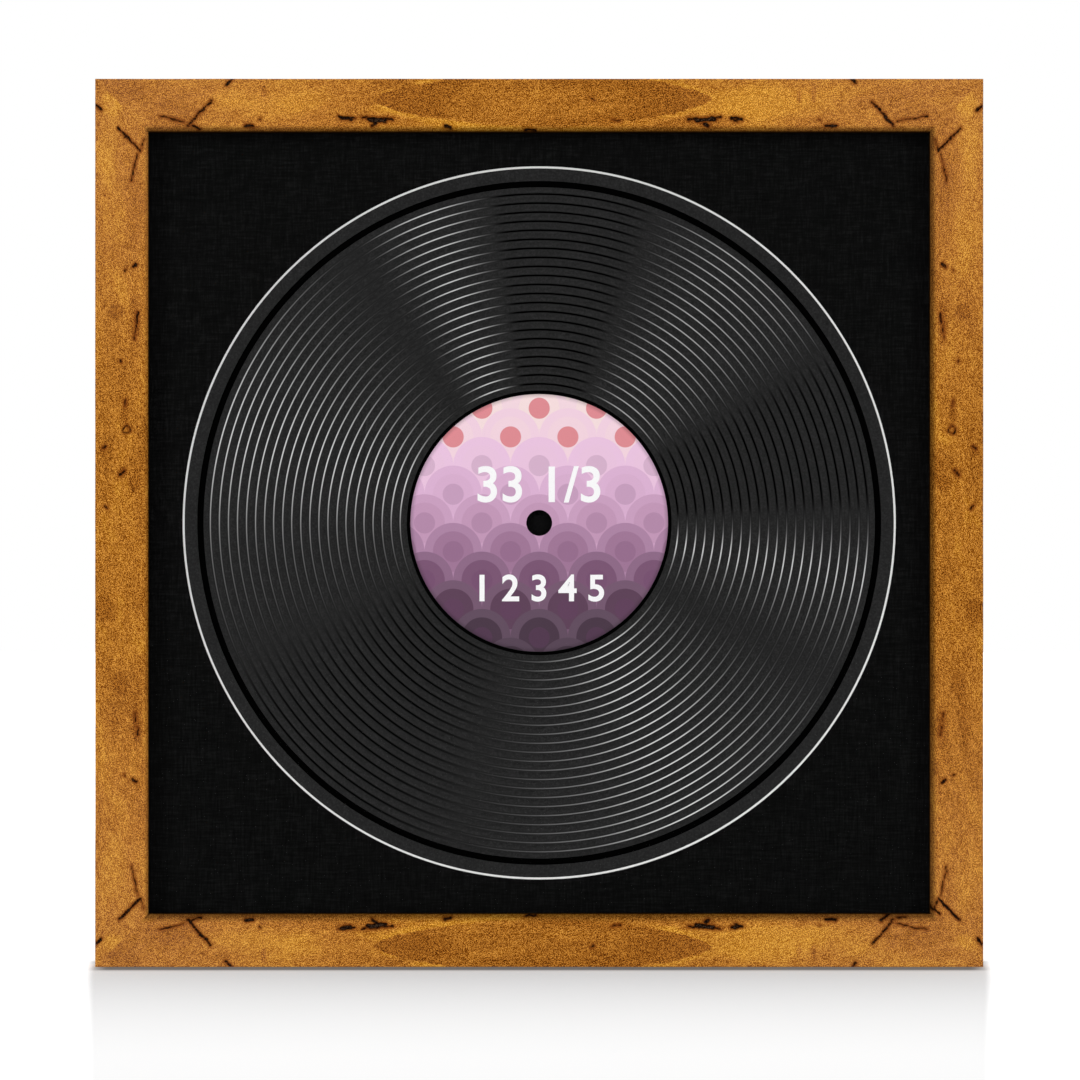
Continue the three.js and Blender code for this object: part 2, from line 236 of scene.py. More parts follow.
# The darker, pointed heart of the grain in the middle of the upper and lower rails
HEART_SHARES = (-0.372, 0.389)
HEART_MIDDLE_SHARES = (0.40, 0.38)
HEART_WIDTH_SHARE = 0.50
HEART_LEAST_SHARE = 0.001
HEART_FULLNESS = 0.62
HEART_EDGE_SHARES = (0.93, 1.03)
HEART_RIM_START_SHARES = (0.98, 1.08)
HEART_RIM_END_SHARES = (1.15, 1.6)
HEART_POINT_SHARES = (0.4, 0.95)
HEART_RING_SHARES = (0.2, 0.6)
HEART_RINGS = 3
HEART_TONE = -0.4
HEART_POINT_TONE = -1.7
HEART_RING_TONE = -0.35
HEART_RIM_TONE = 0.65

# How the wood's marks and grain wander: the size of each wave, and how far it moves them
LONG_WAVE = 2.4 * MM
CROSS_WAVE = 2.0 * MM
WAVE_REACH = 0.7 * MM
SHORT_WAVE = 0.8 * MM
SHORT_REACH = 0.35 * MM
UNEVEN_CELL = 9.0 * MM
PATCH_EDGE_SHARES = (0.3, 1.3)
TONE_CELL = 5.0 * MM
TONE_LENGTHENING = 0.3
TONE_UNEVENNESS = 0.55
RANDOM_CELLS = 256
SEEDS_PER_RAIL = 10

# Measures so small that they only tell places apart
HAIRLINE = 0.01 * MM
EDGE_HAIR = 0.1 * MM
WELD_REACH = 0.0001 * MM

# The mat's window
MAT_SEGMENTS = 360
WINDOW_OVERLAP = 2.4 * MM

# The record
RECORD_SEGMENTS = 300
LABEL_SEGMENTS = 180
GROOVE_COUNT = 22
GROOVE_PITCH = 3.784 * MM
GROOVE_WIDTH = 1.25 * MM
GROOVE_DEPTH = 0.25 * MM
GROOVE_STEPS = 6
INNER_GROOVE_RADIUS = 58.2 * MM
LABEL_RING_RADIUS = 54.7 * MM
LABEL_RING_WIDTH = 1.4 * MM
RIM_BAND_RADIUS = 141.8 * MM
RIM_BAND_WIDTH = 2.6 * MM
RIM_BAND_DEPTH = 0.45 * MM
RIM_BAND_SLOPE = 0.3 * MM
BAND_SOFTNESS = 0.1 * MM
RECORD_EDGE = 0.5 * MM
HOLE_RADIUS = 5.4 * MM

# How far from a groove's middle its matt part, its line of painted shade and its core of painted highlight
# start, and by where each is full, as shares of the groove's width
GROOVE_EDGE_SHARES = ((0.62, 0.5), (0.44, 0.15), (0.33, 0.05))

# The painted highlights over the grooves, in fans, each with its middle and its reach either way in degrees,
# anticlockwise from the right, and how bright it is from 0 to 1; between the fans the grooves are painted
# dark as shade
GROOVE_FANS = [
    (36, 15, 0.20),
    (53, 25, 0.64),
    (110, 16, 0.76),
    (139, 20, 0.06),
    (162, 56, 0.51),
    (163, 26, 0.32),
    (190, 22, 0.08),
    (208, 24, 0.08),
    (250, 22, 0.10),
    (274, 26, 0.10),
    (297, 54, 0.50),
    (299, 22, 0.37),
    (320, 18, 0.12),
    (349, 20, 0.59),
    (351, 8, 0.24),
]
DISPLAY_POWER = 2.2
# How bright plain vinyl looks with its sheen: the hollows are painted this bright, a painted reflection
PLAIN_WITH_SHEEN = 0.018

# The label's fish-scale design, with its shades from the foot up, its rings and its numbers
SCALE_RADIUS = 12.0 * MM
SCALE_CORE_SHARE = 0.36
SCALE_BAND_SHARE = 0.7
SCALE_EDGE_SHARE = 0.015
LABEL_SHADES = [
    (0.0, (66, 50, 64)), (0.1, (78, 56, 74)), (0.22, (104, 70, 96)),
    (0.34, (140, 98, 132)), (0.47, (190, 146, 178)), (0.58, (212, 168, 202)),
    (0.7, (234, 194, 224)), (0.84, (245, 214, 224)), (1.0, (248, 226, 222)),
]
CORAL_ROW_SHARES = (0.8, 1.0)
EDGE_SHADE_REACH = 2.0 * MM
EDGE_SHADE = 0.35
LABEL_EDGE_SHARE = 0.25
UPPER_NUMBER = "33 1/3"
LOWER_NUMBERS = "1 2 3 4 5"
UPPER_NUMBER_SIZE = 21.0 * MM
LOWER_NUMBER_SIZE = 15.4 * MM
UPPER_NUMBER_FOOT = 9.0 * MM
LOWER_NUMBER_FOOT = -32.5 * MM
NUMBER_BOLDNESS = 0.3 * MM
NUMBER_THICKNESS = 0.04 * MM

# The wood's darker, plain and golden shades, each from the pits of its grain to the tips
WOOD_SHADES = {
    "brown": ((66, 24, 0), (136, 71, 0), (204, 133, 49)),
    "base": ((102, 46, 0), (166, 98, 6), (230, 160, 70)),
    "gold": ((142, 80, 0), (197, 127, 14), (248, 186, 80)),
}
SAND_CONTRAST = 3.1

# The surfaces: how far apart the bumps of each texture lie, and how high they stand
CELLS = {
    "sand": 0.43 * MM, "fibre": 1.1 * MM, "blotch": 3.2 * MM, "cloud": 11.0 * MM, "waviness": 60.0 * MM,
    "slub": 0.75 * MM, "fuzz": 0.9 * MM, "thread": 0.55 * MM, "dust": 0.8 * MM, "paper": 0.5 * MM,
    "plating": 0.4 * MM, "tarnish": 5.0 * MM, "foam": 0.9 * MM, "chip": 1.1 * MM, "damp": 30.0 * MM,
    "screen": 1.6 * MM, "rubber": 0.5 * MM, "board": 0.7 * MM, "pulp": 0.6 * MM,
}
BUMPS = {
    "wood": 0.08 * MM, "acrylic": 0.02 * MM, "linen": 0.05 * MM, "vinyl": 0.01 * MM, "paper": 0.01 * MM,
    "metal": 0.01 * MM, "foam": 0.2 * MM, "hardboard": 0.12 * MM, "rubber": 0.03 * MM, "board": 0.05 * MM,
    "core": 0.02 * MM,
}
BOARD_CLOUD_SPREAD = 14.0
BLACK = (0.0, 0.0, 0.0)
WHITE = (1.0, 1.0, 1.0)

# The metal parts and bumpers
FINE_SEGMENTS = 48
BUTTON_HEAD_RADIUS = 4.6 * MM
BUTTON_TIP_RADIUS = 3.2 * MM
BUTTON_REACH = 16.0 * MM
BUTTON_HOLE_RADIUS = 1.8 * MM
BUTTON_EDGE = 0.22 * MM
BUTTON_RIM_HEIGHT = 0.12 * MM
BUTTON_RIM_SHARES = (0.22, 0.34, 0.70, 0.82)
BUTTON_SEGMENTS = 72
SCREW_SHANK_RADIUS = 1.5 * MM
SCREW_HEAD_HEIGHT = 1.6 * MM
SCREW_HEAD_RIM = 0.5 * MM
SCREW_HEAD_RINGS = 22
SCREW_HEAD_FULLNESS = 2.6
SCREW_THREAD_DEPTH = 0.35 * MM
SCREW_THREAD_PITCH = 1.1 * MM
SCREW_THREAD_SHARES = (0.3, 0.65)
SCREW_POINT_TURNS = 2
SCREW_POINT_START = 0.6
SCREW_TURN_SEED = 5
RECESS_LENGTH = 3.3 * MM
RECESS_WIDTH = 0.75 * MM
RECESS_DEPTH = 0.95 * MM
RECESS_SLOPE = 0.18 * MM
RECESS_END_SHARE = 0.6
HANGER_FOOT = 8.0 * MM
HANGER_RAMP = 4.0 * MM
HANGER_GAUGE = 1.0 * MM
HANGER_BEND = 1.2 * MM
HANGER_EDGE = 0.18 * MM
HANGER_CORNER_LENGTH = 1.08 * MM
HANGER_CORNER_WIDTH = 0.9 * MM
TOOTH_PITCH = 3.0 * MM
TOOTH_DEPTH = 2.0 * MM
TOOTH_STEPS = 8
NAIL_SHANK_RADIUS = 0.8 * MM
NAIL_HEAD_HEIGHT = 0.7 * MM
NAIL_RIM_HEIGHT = 0.14 * MM
NAIL_RIM_SHARE = 0.94
NAIL_DOME_STEPS = 8
BUMPER_EDGE = 0.7 * MM
BUMPER_FOOT_SHARE = 1 / 3
BUMPER_EDGE_STEPS = 6
V_NAIL_LEG = 7.0 * MM
V_NAIL_GAUGE = 0.6 * MM
V_NAIL_PROUD = 0.08 * MM

# The camera stands square to the front, as in the photograph
CAMERA_LENS = 200.0
CAMERA_SENSOR = 36.0
CAMERA_DISTANCE = 2502.0 * MM
CAMERA_RIGHT = 0.33 * MM
CAMERA_DROP = 7.15 * MM
CAMERA_REACH = 100.0

# The studio light: how bright each source makes a white surface that faces it. A front or rear lamp has its
# turn about the line to the camera and its tilt off it, in degrees.
WORLD_LEVEL = 0.25
CAMERA_SIDE_SHARES = (-0.75, -0.35)
LAMP_DISTANCE = 2.6
LAMP_SIZE = 0.7
LAMPS = [
    ("left_lamp", 174.0, 50.0, 0.38),
    ("right_lamp", 24.0, 50.0, 0.33),
    ("upper_lamp", 100.0, 40.0, 0.17),
    ("rear_left_lamp", 170.0, 130.0, 0.25),
    ("rear_right_lamp", 10.0, 130.0, 0.25),
]
STRIP_DISTANCE = 7.0
STRIP_LENGTH = 5.4
STRIP_WIDTH = 0.8
STRIP_ELEVATION = 64.0
STRIP_LEVEL = 0.41
FLOOR_SIZE = 14.0
FLOOR_COLOUR = (0.90, 0.90, 0.90)
FLOOR_LIFT = 0.48
FLOOR_BOUNCE = 0.60
FLOOR_WHITE_FROM = 0.55
FLOOR_WHITE_BY = 1.4
# Painted light on the floor where the camera sees it: beside the frame, in a band narrowing towards the
# camera, and behind it
BESIDE_LIFT = 0.36
BESIDE_REACH = 5.0 * MM
BEHIND_LIFT = 0.15
BEHIND_REACH = 60.0 * MM
# The painted shadow at the frame's foot: the nearest place the band is worked out for, how far the shadow
# reaches and where it is full, how soft its sides are and how dark it is
NEAREST_FLOOR = 0.3
CONTACT_REACH = 24.0 * MM
CONTACT_FULL = 10.0 * MM
CONTACT_FADE = 6.0 * MM
CONTACT_SHADOW_SHARE = 0.77


def linear(*steps):
    """A colour given in the usual 0 to 255 steps, as the shaders need it."""
    shares = [step / 255 for step in steps]
    return tuple(s / 12.92 if s <= 0.04045 else ((s + 0.055) / 1.055) ** 2.4 for s in shares)


def smooth_step(low, high, value):
    share = np.clip((value - low) / (high - low), 0.0, 1.0)
    return share * share * (3 - 2 * share)


def patchy(along, across, cell, seed):
    """Smooth random values from -0.5 to 0.5 over a plane, the same on every run."""
    table = np.random.default_rng(seed).random((RANDOM_CELLS, RANDOM_CELLS)) - 0.5
    u, v = along / cell, across / cell
    i, j = np.floor(u).astype(int), np.floor(v).astype(int)
    f, g = smooth_step(0.0, 1.0, u - i), smooth_step(0.0, 1.0, v - j)

    def row(k):
        first, second = i % RANDOM_CELLS, (i + 1) % RANDOM_CELLS
        return table[first, k % RANDOM_CELLS] * (1 - f) + table[second, k % RANDOM_CELLS] * f

    return row(j) * (1 - g) + row(j + 1) * g


# Meshes
def added(name, data):
    """A new object in the scene."""
    body = bpy.data.objects.new(name, data)
    bpy.context.scene.collection.objects.link(body)
    return body


def turned_outward(mesh, weld=False):
    """Turns a mesh's faces outward, once points at the same place are joined where it is to be welded."""
    shape = bmesh.new()
    shape.from_mesh(mesh)
    if weld:
        bmesh.ops.remove_doubles(shape, verts=shape.verts, dist=WELD_REACH)
    bmesh.ops.recalc_face_normals(shape, faces=shape.faces)
    shape.to_mesh(mesh)
    shape.free()


def skinned(name, loops, ends, sharp_degrees=35.0):
    """A new object whose skin runs over equal loops of points, smooth but for its sharp edges. Its two ends
    are open, or capped, or joined to each other."""
    count, rows = len(loops[0]), len(loops)
    faces = []
    for row in range(rows if ends == "joined" else rows - 1):
        first, second = row * count, (row + 1) % rows * count
        for i in range(count):
            j = (i + 1) % count
            faces.append((first + i, first + j, second + j, second + i))
    if ends == "capped":
        faces += [tuple(range(count)), tuple(range((rows - 1) * count, rows * count))]
    mesh = bpy.data.meshes.new(name)
    mesh.from_pydata([tuple(point) for loop in loops for point in loop], [], faces)
    turned_outward(mesh)
    mesh.polygons.foreach_set("use_smooth", [True] * len(mesh.polygons))
    mesh.set_sharp_from_angle(angle=math.radians(sharp_degrees))
    return added(name, mesh)


def circle(radius, depth, segments=FINE_SEGMENTS):
    turns = [2 * math.pi * i / segments for i in range(segments)]
    return [(radius * math.cos(a), depth, radius * math.sin(a)) for a in turns]


def quarter_oval(radius, depth, across, rise, steps):
    """Radius and depth pairs over a quarter of an oval about a place, from its rim to its top."""
    turns = [math.pi / 2 * i / steps for i in range(steps + 1)]
    return [(radius + across * math.cos(a), depth + rise * math.sin(a)) for a in turns]


def turned(name, profile, segments=FINE_SEGMENTS, ends="joined"):
    """A solid turned about a line along Y, from radius and depth pairs."""
    piece = skinned(name, [circle(radius, depth, segments) for radius, depth in profile], ends)
    turned_outward(piece.data, weld=True)
    return piece


def placed(piece, matrix):
    piece.data.transform(matrix)
    return piece


def about_centre(quarter_turns):
    """Turns what is drawn for the upper rail, about the middle of the frame, to another side."""
    return Matrix.Translation(CENTRE) @ Matrix.Rotation(quarter_turns * math.pi / 2, 4, "Y")


def at_middle(low, high):
    """Moves what is drawn about a line along Y to the middle of a solid's box."""
    return Matrix.Translation(((low.x + high.x) / 2, 0.0, (low.z + high.z) / 2))


def coated(piece, material):
    piece.data.materials.clear()
    piece.data.materials.append(material)


def dressed(piece, material, slot, *nodes, body="frame"):
    """Gives a new piece its material, the body it rides on and the solids it stands for. The record slot is
    not used.
    """
    coated(piece, material)
    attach(piece, body)
    if nodes:
        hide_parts(*nodes)


# Shader nodes
def worked(operation, swapped=False):
    """An operator that a node works out."""
    def result(self, other):
        return figure(operation, *((other, self) if swapped else (self, other)))
    return result


class Sum:
    """A number worked out by nodes, so that a material reads as plain arithmetic."""
    __add__ = __radd__ = worked("ADD")
    __sub__ = worked("SUBTRACT")
    __rsub__ = worked("SUBTRACT", swapped=True)
    __mul__ = __rmul__ = worked("MULTIPLY")
    __truediv__ = worked("DIVIDE")
    __pow__ = worked("POWER")

    def __init__(self, socket):
        self.socket = socket


def new_node(kind, *values):
    """A node beside the first of the values that comes from a node."""
    sockets = [getattr(value, "socket", value) for value in values]
    tree = next(s.id_data for s in sockets if isinstance(s, bpy.types.NodeSocket))
    return tree.nodes.new("ShaderNode" + kind)


def feed(value, socket):
    value = getattr(value, "socket", value)
    if isinstance(value, bpy.types.NodeSocket):
        socket.id_data.links.new(value, socket)
    elif isinstance(value, tuple) and socket.type == "RGBA":
        socket.default_value = (*value, 1.0)
    else:
        socket.default_value = value


def fed(node, **values):
    """The node with its sockets set, which are named as it names them, with spaces as underscores."""
    for name, value in values.items():
        feed(value, node.inputs[name.replace("_", " ")])
    return node


def figure(operation, *values):
    node = new_node("Math", *values)
    node.operation = operation
    for value, socket in zip(values, node.inputs):
        feed(value, socket)
    return Sum(node.outputs[0])


def ramped(value, low, high, smooth=True):
    """The value's share of the way from low to high, from 0 to 1."""
    node = fed(new_node("MapRange", value), Value=value, From_Min=low, From_Max=high)
    node.interpolation_type = "SMOOTHSTEP" if smooth else "LINEAR"
    return Sum(node.outputs["Result"])


def mixed(share, first, second):
    node = new_node("Mix", share, first, second)
    node.data_type = "RGBA"
    feed(share, node.inputs["Factor"])
    feed(first, node.inputs[6])
    feed(second, node.inputs[7])
    return node.outputs[2]


def graded(value, *stops):
    """A colour that follows a value through stops, each a place and a colour in steps from 0 to 255."""
    node = fed(new_node("ValToRGB", value), Fac=value)
    elements = node.color_ramp.elements
    elements.remove(elements[-1])
    for i, (place, colour) in enumerate(stops):
        element = elements[0] if i == 0 else elements.new(place)
        element.position = place
        element.color = (*linear(*colour), 1.0)
    return node.outputs["Color"]


def object_place(tree):
    return tree.nodes.new("ShaderNodeTexCoord").outputs["Object"]


def attribute(tree, name, output="Fac"):
    node = tree.nodes.new("ShaderNodeAttribute")
    node.attribute_name = name
    return Sum(node.outputs[output])


def ray(tree, kind):
    return Sum(tree.nodes.new("ShaderNodeLightPath").outputs["Is " + kind + " Ray"])


def parts_of(vector):
    node = fed(new_node("SeparateXYZ", vector), Vector=vector)
    return [Sum(socket) for socket in node.outputs]


def stretched(vector, *scale):
    return fed(new_node("Mapping", vector), Vector=vector, Scale=scale).outputs["Vector"]


def speckle(vector, cell, detail=2.0, roughness=0.6, spread=1.0):
    """Random values from about 0 to 1, whose bumps are a named cell apart, or that many times as much."""
    scale = 1 / (CELLS[cell] * spread)
    node = fed(new_node("TexNoise", vector), Vector=vector, Scale=scale, Detail=detail, Roughness=roughness)
    return ramped(node.outputs["Fac"], 0.25, 0.75, smooth=False)


def bumped(height, bump, strength):
    node = fed(new_node("Bump", height), Height=height, Distance=BUMPS[bump], Strength=strength)
    return node.outputs["Normal"]


def new_material(name):
    material = bpy.data.materials.new(name)
    material.use_nodes = True
    tree = material.node_tree
    return material, tree, tree.nodes["Principled BSDF"]


def shown(tree, share, first, second):
    """Gives the surface the first shader, and the second in its place by a share."""
    mix = tree.nodes.new("ShaderNodeMixShader")
    for value, socket in zip((share, first.outputs[0], second.outputs[0]), mix.inputs):
        feed(value, socket)
    feed(mix.outputs[0], tree.nodes["Material Output"].inputs["Surface"])


def wood_shade(grit, name):
    low, middle, high = WOOD_SHADES[name]
    return graded(grit, (0.0, low), (0.5, middle), (1.0, high))


def wood_material():
    """Golden brown rustic wood: fine grain, lighter and darker patches, cracks, and painted shade at the
    sight edge.
    """
    material, tree, shader = new_material("rustic_wood")
    place = attribute(tree, "grain", "Vector")
    sand = speckle(place, "sand", roughness=0.8)
    fibre = speckle(stretched(place, 0.3, 1.0, 1.0), "fibre")
    blotch = speckle(stretched(place, 0.6, 1.0, 1.0), "blotch")
    cloud = speckle(stretched(place, 0.4, 1.0, 1.0), "cloud")
    tone = attribute(tree, "tone") + (cloud - 0.5) * 0.85 + (blotch - 0.5) * 0.65 + (fibre - 0.5) * 0.45
    light = ramped(tone, 0.0, 1.0, smooth=False)
    dark = ramped(tone * -1.0, 0.0, 1.0, smooth=False)
    ends = attribute(tree, "ruddy")
    contrast = dark * 0.8 + ends * ends * 0.9 + SAND_CONTRAST
    grit = (sand - 0.5) * contrast + (fibre - 0.5) * 0.5 + 0.5
    colour = mixed(light, wood_shade(grit, "base"), wood_shade(grit, "gold"))
    colour = mixed(dark, colour, wood_shade(grit, "brown"))
    colour = mixed(ends * (0.08 + blotch * 0.14), colour, linear(200, 132, 90))
    mark = attribute(tree, "mark") + (sand - 0.5) * 0.9 + (fibre - 0.5) * 0.7
    colour = mixed(ramped(mark, -1.3, -0.2) * 0.6, colour, linear(124, 60, 16))
    cut = ramped(mark, -0.34, 0.2)
    bits = ramped(mark, 0.3, 0.9) * ramped(sand, 0.45, 0.85)
    colour = mixed(cut, colour, mixed(bits, linear(14, 6, 3), linear(104, 80, 62)))
    # The painted shade at the sight edge and on the lip, which also dulls the shine
    stain = attribute(tree, "stain")
    colour = mixed(stain, colour, linear(8, 4, 1))
    bare = mixed(fibre * 0.8 + sand * 0.2, linear(150, 104, 60), linear(206, 170, 122))
    raw = attribute(tree, "raw")
    fed(
        shader,
        Base_Color=mixed(ramped(raw + (cloud - 0.5) * 0.4, 0.35, 0.65), colour, bare),
        Roughness=0.50 + sand * 0.16 + raw * 0.25,
        Specular_IOR_Level=(1.0 - cut) * (1.0 - stain) * 0.03,
        Normal=bumped(sand * 0.6 + fibre * 0.4, "wood", 0.4),
    )
    return material


def glazing_material():
    """Clear acrylic with little shine, which mirrors only at a slant."""
    material, tree, shader = new_material("clear_acrylic")
    normal = bumped(speckle(object_place(tree), "waviness"), "acrylic", 0.3)
    fed(shader, Base_Color=BLACK, Roughness=0.03, Normal=normal)
    clear = tree.nodes.new("ShaderNodeBsdfTransparent")
    slant = fed(tree.nodes.new("ShaderNodeLayerWeight"), Blend=0.12)
    shown(tree, Sum(slant.outputs["Fresnel"]) * 0.5 * (1.0 - ray(tree, "Diffuse")), clear, shader)
    return material


def linen_material():
    """Black book cloth: slubs along both threads, and the weave itself in its surface."""
    material, tree, shader = new_material("black_linen")
    place = object_place(tree)
    x, _, z = parts_of(place)
    weft = speckle(stretched(place, 0.09, 1.0, 1.0), "slub")
    warp = speckle(stretched(place, 1.0, 1.0, 0.09), "slub")
    fuzz = speckle(place, "fuzz")
    slubs = weft * 0.4 + warp * 0.4 + fuzz * 0.2
    over = figure("SINE", x * (2 * math.pi / CELLS["thread"]))
    under = figure("SINE", z * (2 * math.pi / CELLS["thread"]))
    fed(
        shader,
        Base_Color=graded(slubs, (0.2, (4, 4, 4)), (0.5, (9, 9, 9)), (0.8, (22, 22, 22))),
        Roughness=0.8 + fuzz * 0.15,
        Specular_IOR_Level=0.04,
        Normal=bumped(over * under * 0.5 + slubs, "linen", 0.4),
    )
    return material


def board_material(name, first, second, cell, roughness=0.85, bump="board", shine=0.2):
    """A plain fibrous board or paper, between two near colours."""
    material, tree, shader = new_material(name)
    place = object_place(tree)
    fibre = speckle(place, cell, detail=4.0, roughness=0.7)
    cloud = speckle(place, cell, spread=BOARD_CLOUD_SPREAD)
    fed(
        shader,
        Base_Color=mixed(fibre * 0.7 + cloud * 0.3, linear(*first), linear(*second)),
        Roughness=roughness + (fibre - 0.5) * 0.1,
        Specular_IOR_Level=shine,
        Normal=bumped(fibre, bump, 0.5),
    )
    return material


def round_place(tree):
    """How far a point lies from the middle of the record, and its angle from 0 to 1."""
    x, _, z = parts_of(object_place(tree))
    up = z - CENTRE.z
    radius = (x * x + up * up) ** 0.5
    turn = figure("ARCTAN2", up, x) / (2 * math.pi)
    return x, up, radius, figure("FRACT", turn + 1.0)


def band(radius, middle, width):
    """1 in a ring of that middle and width, and 0 elsewhere."""
    off = figure("ABSOLUTE", radius - middle)
    return ramped(off, width / 2 + BAND_SOFTNESS, width / 2 - BAND_SOFTNESS)


def painted_groove_sheen(turn):
    """The painted highlight of the grooves at each angle round the record."""
    shine = 0.0
    for middle, reach, level in GROOVE_FANS:
        off = figure("ABSOLUTE", figure("FRACT", turn + (1.5 - middle / 360)) - 0.5)
        shine = shine + ramped(off, reach / 360, 0.0) * level
    return shine ** DISPLAY_POWER


def vinyl_material():
    """Black vinyl whose grooves are painted with fans of highlight and lines of shade, with black bands at
    the label and the rim.
    """
    material, tree, shader = new_material("grooved_vinyl")
    _, _, radius, turn = round_place(tree)
    dust = speckle(object_place(tree), "dust", detail=1.0)
    plain = graded(dust, (0.0, (19, 19, 19)), (0.5, (29, 29, 29)), (1.0, (42, 42, 42)))
    lap = (radius - INNER_GROOVE_RADIUS) / GROOVE_PITCH
    off = figure("ABSOLUTE", figure("FRACT", lap + 0.5) - 0.5) * (GROOVE_PITCH / GROOVE_WIDTH)
    first = INNER_GROOVE_RADIUS - GROOVE_PITCH / 2
    last = INNER_GROOVE_RADIUS + (GROOVE_COUNT - 0.5) * GROOVE_PITCH
    grooved = figure("GREATER_THAN", radius, first) * figure("LESS_THAN", radius, last)
    hollow, line, core = [ramped(off, *shares) * grooved for shares in GROOVE_EDGE_SHARES]
    # The hollows lose their shine and are painted as bright as plain vinyl with its sheen, a painted
    # reflection
    plain = mixed(hollow, plain, (PLAIN_WITH_SHEEN, PLAIN_WITH_SHEEN, PLAIN_WITH_SHEEN))
    # Painted light by angle: faint grooves become lines of painted shade, bright ones cores of painted
    # highlight
    shine = painted_groove_sheen(turn)
    side = figure("MINIMUM", shine / PLAIN_WITH_SHEEN, 1.0) * (1.0 - shine)
    colour = mixed(line, plain, mixed(side, BLACK, plain))
    colour = mixed(core, colour, mixed(shine, BLACK, WHITE))
    black = band(radius, RIM_BAND_RADIUS, RIM_BAND_WIDTH)
    black = figure("MAXIMUM", black, band(radius, LABEL_RING_RADIUS, LABEL_RING_WIDTH))
    fed(
        shader,
        Base_Color=mixed(black, colour, linear(2, 2, 2)),
        Roughness=0.32 + dust * 0.08,
        Specular_IOR_Level=(1.0 - figure("MAXIMUM", black, hollow)) * 0.2,
        Normal=bumped(dust, "vinyl", 0.3),
    )
    return material


def scale_rows(x, up):
    """Rows of round scales: how far a point lies from its scale's middle, and its scale's row."""
    across, height = x / SCALE_RADIUS, up / SCALE_RADIUS
    row = figure("FLOOR", height)

    def distance(this_row):
        beside = across - figure("FLOORED_MODULO", this_row, 2.0)
        beside = beside - figure("ROUND", beside / 2.0) * 2.0
        rise = height - this_row
        return (beside * beside + rise * rise) ** 0.5

    near, far = distance(row), distance(row + 1.0)
    inside = figure("LESS_THAN", near, 1.0)
    return inside * near + (1.0 - inside) * far, row + (1.0 - inside)


def label_material():
    """A printed label: fish scales from pale pink down to dark plum, with coral rings."""
    material, tree, shader = new_material("label_print")
    x, up, radius, _ = round_place(tree)
    reach, row = scale_rows(x, up)
    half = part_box("record_label_front")[1].x
    share = (row * SCALE_RADIUS + half) / (2 * half)
    colour = graded(share, *LABEL_SHADES)
    outer = ramped(reach, SCALE_BAND_SHARE, SCALE_BAND_SHARE + SCALE_EDGE_SHARE)
    core = ramped(reach, SCALE_CORE_SHARE + SCALE_EDGE_SHARE, SCALE_CORE_SHARE)
    colour = mixed(outer * (share * 0.2 + 0.06), colour, linear(238, 196, 232))
    colour = mixed(core * 0.22, colour, linear(104, 58, 100))
    low, high = CORAL_ROW_SHARES
    coral = core * figure("GREATER_THAN", share, low) * figure("LESS_THAN", share, high)
    colour = mixed(coral, colour, linear(224, 140, 147))
    edge = ramped(radius, half - EDGE_SHADE_REACH, half) * EDGE_SHADE
    paper = speckle(object_place(tree), "paper")
    fed(
        shader,
        Base_Color=mixed(edge, colour, linear(40, 26, 36)),
        Roughness=0.5 + paper * 0.1,
        Specular_IOR_Level=0.2,
        Normal=bumped(paper, "paper", 0.4),
    )
    return material


def metal_material(name, first, second, roughness, streak=(1.0, 1.0, 1.0)):
    """Plated steel with fine rolling marks and a little wear."""
    material, tree, shader = new_material(name)
    place = object_place(tree)
    marks = speckle(stretched(place, *streak), "plating")
    cloud = speckle(place, "tarnish")
    fed(
        shader,
        Base_Color=mixed(marks * 0.4 + cloud * 0.6, linear(*first), linear(*second)),
        Metallic=1.0,
        Roughness=roughness + marks * 0.12 + cloud * 0.08,
        Normal=bumped(marks, "metal", 0.4),
    )
    return material


def foam_material():
    """Black foam with open cells."""
    material, tree, shader = new_material("black_foam")
    cells = speckle(object_place(tree), "foam", detail=3.0, roughness=0.8)
    fed(
        shader,
        Base_Color=mixed(cells, linear(3, 3, 3), linear(12, 12, 13)),
        Roughness=0.95,
        Specular_IOR_Level=0.1,
        Normal=bumped(cells, "foam", 0.8),
    )
    return material


def hardboard_material():
    """Brown hardboard, with the print of its screen on the rough side and darker fibres."""
    material, tree, shader = new_material("brown_hardboard")
    place = object_place(tree)
    x, _, z = parts_of(place)
    fibre = speckle(stretched(place, 0.5, 1.0, 1.0), "chip", detail=4.0, roughness=0.75)
    cloud = speckle(place, "damp")
    screen = figure("SINE", (x + z) * (2 * math.pi / CELLS["screen"]))
    screen = screen * figure("SINE", (x - z) * (2 * math.pi / CELLS["screen"]))
    share = fibre * 0.75 + cloud * 0.14 + screen * 0.08
    fed(
        shader,
        Base_Color=graded(share, (0.1, (84, 54, 34)), (0.5, (118, 80, 52)), (0.9, (152, 110, 76))),
        Roughness=0.72 + fibre * 0.15,
        Specular_IOR_Level=0.25,
        Normal=bumped(screen * 0.5 + fibre, "hardboard", 0.5),
    )
    return material


def rubber_material():
    material, tree, shader = new_material("black_rubber")
    grain = speckle(object_place(tree), "rubber")
    colour = mixed(grain, linear(26, 26, 28), linear(40, 40, 43))
    fed(shader, Base_Color=colour, Roughness=0.6 + grain * 0.15, Normal=bumped(grain, "rubber", 0.5))
    return material


# The wooden rails
def stretch(start, end, step):
    count = max(1, round(math.dist(start, end) / step))
    shares = [i / count for i in range(count)]
    return [(start[0] + (end[0] - start[0]) * s, start[1] + (end[1] - start[1]) * s) for s in shares]


def corner_arc(centre, radius, first_degrees, last_degrees, steps):
    degrees = [first_degrees + (last_degrees - first_degrees) * i / steps for i in range(steps)]
    turns = [math.radians(d) for d in degrees]
    return [(centre[0] + radius * math.cos(a), centre[1] + radius * math.sin(a)) for a in turns]


